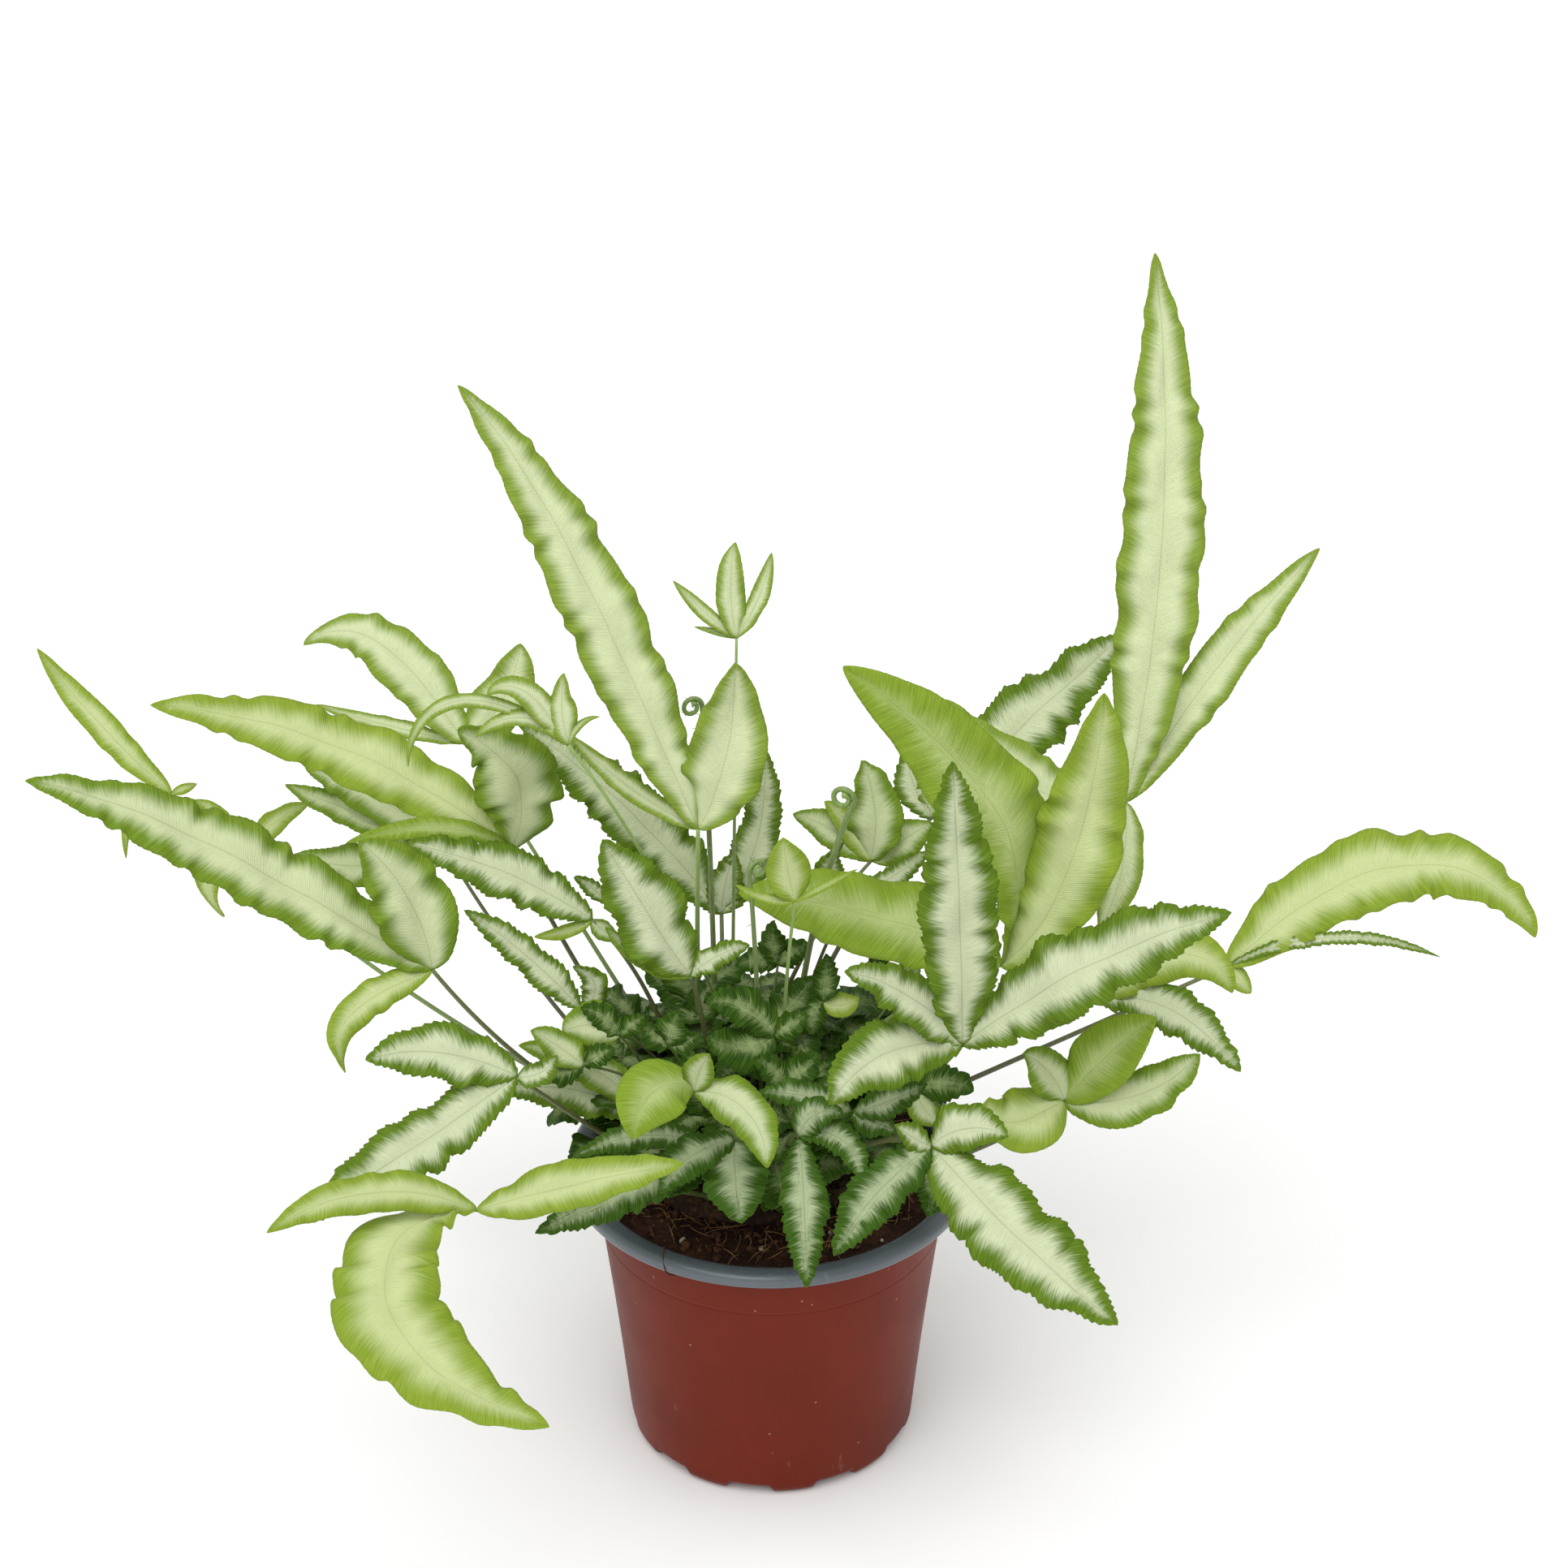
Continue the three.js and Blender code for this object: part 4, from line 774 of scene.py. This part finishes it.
def pinna(rng, start, tone, heading, rise, length, droop, turn, width, roll, late=1):
    """One ribbon. Its line leaves start along heading and rise, and bends by droop and turn as the share t
    of its length to the power late. Across it, s runs from -1 at the left margin to 1 at the right: the
    place is line + s * half width across + a ruffle that grows as the square of s. Each margin waves on its
    own, by a sine whose spacing and height drift. The upper side sinks a little along the midrib, and the
    under side stands out there as a rib."""
    look = TONES[tone]
    length, half = length * MM, width / 2 * FULLNESS * MM
    rows = max(12, int(length / ROW_STEP))
    t = (np.arange(rows + 1) / rows)[:, None]
    middle = ((np.arange(rows) + 0.5) / rows)[:, None]
    h, e = np.radians(heading + turn * middle**late), np.radians(rise - droop * middle**late)
    steps = np.concatenate([np.cos(e) * np.cos(h), np.cos(e) * np.sin(h), np.sin(e)], 1) * length / rows
    line = start + np.concatenate([np.zeros((1, 3)), np.cumsum(steps, 0)])
    h, e = np.radians(heading + turn * t**late), np.radians(rise - droop * t**late)
    along = np.concatenate([np.cos(e) * np.cos(h), np.cos(e) * np.sin(h), np.sin(e)], 1)
    level = np.concatenate([np.sin(h), -np.cos(h), 0 * h], 1)
    above = np.cross(level, along)
    r = math.radians(roll)
    across = level * math.cos(r) + above * math.sin(r)
    up = above * math.cos(r) - level * math.sin(r)

    s = np.linspace(-1, 1, WIDE_COLUMNS if width > NARROW else NARROW_COLUMNS)[None, :]
    run = t * length
    left, right, drift = rng.uniform(0, 2 * np.pi, 3)
    phase = np.where(s < 0, left, right)
    beat = 2 * np.pi * run / (look["wave"] * MM * rng.uniform(0.85, 1.2))
    swell = 0.65 + 0.35 * np.sin(0.31 * beat + 2 * phase)
    place_on = beat + phase + 1.2 * np.sin(0.43 * beat + drift)
    slow = np.sin(0.37 * beat + drift - phase)
    saw = (run / (look["gap"] * MM) + phase + 0.3 * np.sin(0.8 * beat + drift)) % 1
    fine = np.clip(half * lance(t) / (3 * MM), 0, 1)
    teeth = look["tooth"] * MM * (saw - 0.6) * fine
    outline = 1 + look["lobe"] * swell * np.sin(place_on) + 0.05 * slow
    narrowest = np.where(t < 0.5, PETIOLE_HALF_WIDTH, TIP_HALF_WIDTH)
    reach = np.maximum(half * lance(t) * outline + teeth, narrowest)
    ruffle = look["ruffle"] * half * lance(t) * s**2 * (swell * np.cos(place_on) + 0.4 * slow)
    gutter = half * lance(t) * (0.3 * np.abs(s) - 0.26 * s**2 + 0.07 * slow * (1 - s**2))
    offset = s * reach
    groove = MIDRIB_DEPTH * np.exp(-((offset / MIDRIB_WIDTH) ** 2)) * np.clip(half / (4 * MM), 0.3, 1)
    thick = EDGE_THICKNESS + (BLADE_THICKNESS - EDGE_THICKNESS) * (1 - s**2)
    lift = ruffle + gutter
    place = line[:, None] + offset[..., None] * across[:, None]
    top = place + (lift + thick / 2 - 0.6 * groove)[..., None] * up[:, None]
    low = place + (lift - thick / 2 - groove)[..., None] * up[:, None]
    points = np.concatenate([top, low[:, ::-1]], 1)

    def both(values):
        """Values of the upper side, and the same in reverse for the under side."""
        values = np.broadcast_to(values, top.shape[:2])
        return np.concatenate([values, values[:, ::-1]], 1).ravel()

    margin = look["margin"] * half * np.clip(lance(t) + 0.15, 0.4, 1) * (1 + 0.35 * t**2) + 0.25 * MM
    under = np.concatenate([np.zeros_like(top[..., 0]), np.ones_like(top[..., 0])], 1).ravel()
    loops, sizes = ring_faces(rows + 1, 2 * s.size)
    data = {
        "inward": both((reach - np.abs(offset)) / margin),
        "rib": both(np.abs(offset) / MM),
        "vein": both((run - VEIN_LEAN * np.abs(offset)) / VEIN_SPACING),
        "side": both(np.sign(s) * 5 + left * 9),
        "run": both(run / MM),
        "under": under,
    }
    return points.reshape(-1, 3), loops, sizes, data


def leaf_tissue(tone):
    """A thin leaf blade: satin, with fine side veins, green margins mottled along the veins and a pale band
    that ends in a comb of streaks. Light comes through it. The under side is duller and more even."""
    look = TONES[tone]
    edge, shade, band = (linear(look[key]) for key in ("edge", "shade", "band"))
    material, tree = new_material("leaf_blade_" + tone)
    names = ("inward", "rib", "vein", "side", "run", "under")
    inward, rib, vein, side, run, under = (
        add(tree, "Attribute", attribute_name=name).outputs["Fac"] for name in names
    )
    # A streak is about one vein wide, and it runs from the midrib to the margin.
    outwards = add(tree, "Math", {0: rib, 1: 0.09}, operation="MULTIPLY")
    streak_at = add(tree, "CombineXYZ", {0: vein, 1: side, 2: outwards})
    streak = add(tree, "TexNoise", {"Vector": streak_at, "Scale": 1.5, "Detail": 2.0})
    fine = add(tree, "TexNoise", {"Vector": streak_at, "Scale": 3.1, "Detail": 2.0})
    onwards = add(tree, "Math", {0: run, 1: 0.14}, operation="MULTIPLY")
    slow_at = add(tree, "CombineXYZ", {0: onwards, 1: side})
    slow = add(tree, "TexNoise", {"Vector": slow_at, "Scale": 1.0, "Detail": 1.0})
    # How deep a place lies in the band: its way in from the margin, moved by the streaks and a slow drift.
    comb = add(tree, "Math", {0: streak, 1: look["comb"], 2: inward}, operation="MULTIPLY_ADD")
    depth = add(tree, "Math", {0: slow, 1: 1.2, 2: comb}, operation="MULTIPLY_ADD")
    centred = 0.5 * look["comb"] + 0.6
    pale = add(tree, "MapRange", {0: depth, 1: 0.5 + centred, 2: 0.5 + look["soft"] + centred},
        interpolation_type="SMOOTHSTEP")
    # Faint green streaks cross the pale band, and the line of the midrib shows through it.
    ghost = add(tree, "MapRange", {0: fine, 1: 0.42, 2: 0.75, 4: 0.26})
    rib_line = add(tree, "MapRange", {0: rib, 1: 0.08, 2: 0.3, 3: 0.34, 4: 0.0})
    faint = add(tree, "Math", {0: ghost, 1: rib_line}, operation="MAXIMUM")
    mottle = add(tree, "MapRange", {0: streak, 1: 0.3, 2: 0.7})
    green = add(tree, "Mix", {0: mottle, 6: shade, 7: edge}, data_type="RGBA")
    centre = add(tree, "Mix", {0: faint, 6: band, 7: green}, data_type="RGBA")
    upper = add(tree, "Mix", {0: pale, 6: green, 7: centre}, data_type="RGBA")
    muted = add(tree, "Math", {0: pale, 1: 0.35}, operation="MULTIPLY")
    dull = add(tree, "Mix", {0: muted, 6: linear(UNDERSIDE), 7: band}, data_type="RGBA")
    lower = add(tree, "Mix", {0: 0.6, 6: upper, 7: dull}, data_type="RGBA")
    colour = add(tree, "Mix", {0: under, 6: upper, 7: lower}, data_type="RGBA")
    turned = add(tree, "Math", {0: vein, 1: 2 * math.pi}, operation="MULTIPLY")
    pleat = add(tree, "Math", {0: turned}, operation="SINE")
    relief = add(tree, "Math", {0: pleat, 1: 0.5, 2: streak}, operation="MULTIPLY_ADD")
    bump = add(tree, "Bump", {"Height": relief, "Strength": 0.7, "Distance": 0.14 * MM})
    rough = add(tree, "MapRange", {0: under, 3: 0.46, 4: 0.68})
    skin = {"Base Color": colour, "Roughness": rough, "Normal": bump, "Specular IOR Level": 0.16}
    shader = add(tree, "BsdfPrincipled", {**skin, "IOR": LEAF_IOR})
    through = add(tree, "BsdfTranslucent", {"Color": colour, "Normal": bump})
    leaf = add(tree, "MixShader", {0: LIGHT_THROUGH, 1: shader, 2: through})
    add(tree, "OutputMaterial", {"Surface": leaf})
    return material


def stipe_skin(name, low, high):
    """A wiry stalk: smooth and hard, darker at its foot, with stripes along it half a millimetre apart."""
    material, tree = new_material(name)
    height = add(tree, "Attribute", attribute_name="height").outputs["Fac"]
    place = add(tree, "TexCoord").outputs["Object"]
    long = add(tree, "Mapping", {"Vector": place, "Scale": (1800.0, 1800.0, 60.0)})
    stripe = add(tree, "TexNoise", {"Vector": long, "Scale": 1.0, "Detail": 2.0})
    grown = add(tree, "MapRange", {0: height, 1: 0.1, 4: 0.8})
    light = add(tree, "MapRange", {0: stripe, 1: 0.4, 2: 0.7, 4: 0.3})
    share = add(tree, "Math", {0: grown, 1: light}, operation="ADD")
    colour = add(tree, "Mix", {0: share, 6: linear(low), 7: linear(high)}, data_type="RGBA")
    bump = add(tree, "Bump", {"Height": stripe, "Strength": 0.3, "Distance": 0.1 * MM})
    shader = add(tree, "BsdfPrincipled", {"Base Color": colour, "Normal": bump, "Roughness": 0.42})
    add(tree, "OutputMaterial", {"Surface": shader})
    return material


LEAF_MATERIALS = {tone: leaf_tissue(tone) for tone in TONES}
STIPE_MATERIALS = {
    "old": stipe_skin("stipe_old", *STIPE_OLD),
    "young": stipe_skin("stipe_young", *STIPE_YOUNG),
}
BLANK = {key: 0.0 for key in ("inward", "rib", "vein", "side", "run", "under")}


def make_frond(seed, name, radius, foot, hub, pinnae, bow=BOW):
    """A frond in one piece: the stipe first, then its pinnae, each with its own material."""
    rng = np.random.default_rng(seed)
    shares = np.linspace(0, 1, STIPE_ROWS)
    path = stipe_points(radius, foot, hub, bow, shares)
    path[0, 2] -= ROOT_DEPTH
    taper = radius * MM * (1.12 - 0.35 * shares)
    parts = [tube(path, taper, STIPE_SIDES, {**BLANK, "height": shares})]
    tones = []
    for tone, *shape in pinnae:
        at = shape.pop() if len(shape) == 9 else 1
        start = stipe_points(radius, foot, hub, bow, [at])[0]
        points, loops, sizes, data = pinna(rng, start, tone, *shape)
        parts.append((points, loops, sizes, {**data, "height": np.ones(len(points))}))
        tones.append(tone)
    points, loops, sizes, data = join(parts)
    skin = STIPE_MATERIALS["young" if set(tones) <= set(YOUNG_TONES) else "old"]
    frond = make_piece(name + "_leaf", points, loops, sizes, skin, data)
    used = sorted(set(tones))
    for tone in used:
        frond.data.materials.append(LEAF_MATERIALS[tone])
    index = [np.zeros(len(parts[0][2]))]
    index += [np.full(len(part[2]), 1 + used.index(tone)) for part, tone in zip(parts[1:], tones)]
    frond.data.polygons.foreach_set("material_index", np.concatenate(index).astype(np.int32))
    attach(frond, "root")
    return frond


for seed, row in enumerate(FRONDS):
    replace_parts(make_frond(seed, *row), row[0])

# ------------------------------------------------------------
# Undergrowth: the small sterile fronds that come up thickly round the crown, too small to be parts of
# their own. Each has three to five broad, deeply toothed leaflets on a short thread of a stipe.
UNDERGROWTH = 58
UNDERGROWTH_REACH = 0.85
UNDERGROWTH_STIPE = 0.45
UNDERGROWTH_BOW = (0.4, 0.7)


def sprout(rng):
    """A row for make_frond: a foot at random on the crown, a hub further out, 14 to 58 mm above the mix and
    lower towards the rim, and leaflets that fan out round the way from the crown's middle."""
    turn, out = rng.uniform(0, 2 * np.pi), UNDERGROWTH_REACH * math.sqrt(rng.uniform(0, 1))
    foot = [out * math.cos(turn), out * math.sin(turn)]
    centre = np.array([CROWN_X, CROWN_Y]) / MM
    spread = 1.5 * out * CROWN_RADIUS / MM
    hub = centre + spread * np.array([math.cos(turn), math.sin(turn)])
    height = 14 + rng.uniform(0, 44 - 26 * out)
    count = rng.integers(3, 6)
    fan = np.degrees(turn) + np.linspace(-110, 110, count) + rng.uniform(-15, 15, count)
    leaflets = []
    for heading in fan:
        rise, length, droop = rng.uniform(5, 55), rng.uniform(13, 25), rng.uniform(10, 80)
        # Every leaflet takes the deep tone, whose dark green is partly painted shade for the plant's shaded
        # middle.
        leaflets.append(["deep", heading, rise, length, droop, rng.uniform(-30, 30), 0.58 * length, 0])
    return UNDERGROWTH_STIPE, foot, [hub[0], hub[1], height], leaflets, UNDERGROWTH_BOW


sprout_rng = np.random.default_rng(77)
for number in range(UNDERGROWTH):
    make_frond(200 + number, f"undergrowth_{number + 1:02d}", *sprout(sprout_rng))

# ------------------------------------------------------------
# Croziers: fronds that have just come up and are still coiled like a watch spring. Pale green and soft, with
# a few brown hairs along the stem.
COIL_TURNS = 1.25
COIL_TIGHTENING = 0.62
STEM_STEPS = 40
COIL_STEPS = 60
HAIRS = 26
HAIR_RADIUS = 0.09 * MM


def crozier_path(radius, foot, top, heading, coil):
    """The stem's curve, then a coil that winds in on the side of its heading while its radius falls evenly
    by a share of itself."""
    stem = stipe_points(radius, foot, top, BOW, np.linspace(0, 1, STEM_STEPS))
    share = np.linspace(0, 1, COIL_STEPS)[1:, None]
    turn, size = share * COIL_TURNS * 2 * np.pi, coil * MM * (1 - COIL_TIGHTENING * share)
    out = np.array([[math.cos(math.radians(heading)), math.sin(math.radians(heading)), 0]])
    bend = stem[-1] + (coil * MM - size * np.cos(turn)) * out + size * np.sin(turn) * np.array([[0, 0, 1]])
    return np.concatenate([stem, bend])


def make_crozier(seed, node, radius, foot, top, heading, coil):
    """The coiled stem, thinner towards its end and swollen at it, with hairs at random places along it."""
    rng = np.random.default_rng(100 + seed)
    path = crozier_path(radius, foot, top, heading, coil)
    share = np.linspace(0, 1, len(path))
    swell = radius * MM * (1.05 - 0.25 * share + 0.5 * np.exp(-(((share - 0.98) / 0.05) ** 2)))
    stem = tube(path, swell, STIPE_SIDES, {"height": share})
    pick = rng.integers(8, len(path) - 2, HAIRS)
    ways = rng.normal(size=(HAIRS, 3))
    ways /= np.linalg.norm(ways, axis=1, keepdims=True)
    bends = 0.3 * rng.normal(size=(HAIRS, 3))
    lengths = rng.uniform(1.5, 3, HAIRS) * MM
    points, loops, sizes = threads(path[pick], ways, bends, lengths, HAIR_RADIUS)
    hair = points, loops, sizes, {"height": np.zeros(len(points))}
    points, loops, sizes, data = join([stem, hair])
    crozier = make_piece(node + "_coil", points, loops, sizes, STIPE_MATERIALS["young"], data)
    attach(crozier, "root")
    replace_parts(crozier, node)


for seed, row in enumerate(CROZIERS):
    make_crozier(seed, *row)

# ------------------------------------------------------------
# Studio: a plain white paper floor under an even white sky, one broad soft light from the front left and
# above, and the camera, in front of the plant and above it.
FLOOR_WHITE = "#F9F9F9"
WORLD_LIGHT = 0.72
KEY_LIGHT = 1.95
KEY_SOFTNESS = 60
KEY_TILT = 27
KEY_HEADING = -18
FLOOR_RADIUS = 4.0
FLOOR_SIDES = 96
CAMERA_PLACE = (0.0038, -0.8983, 0.7198)
CAMERA_PITCH = 60.85
CAMERA_LENS = 84.68
CAMERA_SENSOR = 36.0


def make_floor():
    """A closed disc: two rings of points at its edge, and a face across each."""
    disc = np.array([[FLOOR_RADIUS, -0.02], [FLOOR_RADIUS, 0.0]])
    points = revolve(disc, FLOOR_SIDES).reshape(-1, 3)
    material, tree = new_material("paper_floor")
    shader = add(tree, "BsdfPrincipled", {"Base Color": linear(FLOOR_WHITE), "Roughness": 0.9})
    add(tree, "OutputMaterial", {"Surface": shader})
    return make_piece("studio_floor", points, *ring_faces(2, FLOOR_SIDES), material)


make_floor()
key = bpy.data.lights.new("key_light", "SUN")
key.energy = KEY_LIGHT
key.angle = math.radians(KEY_SOFTNESS)
key_lamp = bpy.data.objects.new("key_light", key)
key_lamp.rotation_euler = (math.radians(KEY_TILT), 0, math.radians(KEY_HEADING))
bpy.context.scene.collection.objects.link(key_lamp)

world = bpy.data.worlds.new("studio_white")
world.use_nodes = True
world.node_tree.nodes["Background"].inputs["Color"].default_value = linear("#FFFFFF")
world.node_tree.nodes["Background"].inputs["Strength"].default_value = WORLD_LIGHT
bpy.context.scene.world = world
bpy.context.scene.view_settings.view_transform = "Standard"

camera = bpy.data.objects.new("camera", bpy.data.cameras.new("camera"))
camera.data.lens = CAMERA_LENS
camera.data.sensor_width = CAMERA_SENSOR
camera.location = CAMERA_PLACE
camera.rotation_euler = (math.radians(CAMERA_PITCH), 0, 0)
bpy.context.scene.collection.objects.link(camera)
bpy.context.scene.camera = camera
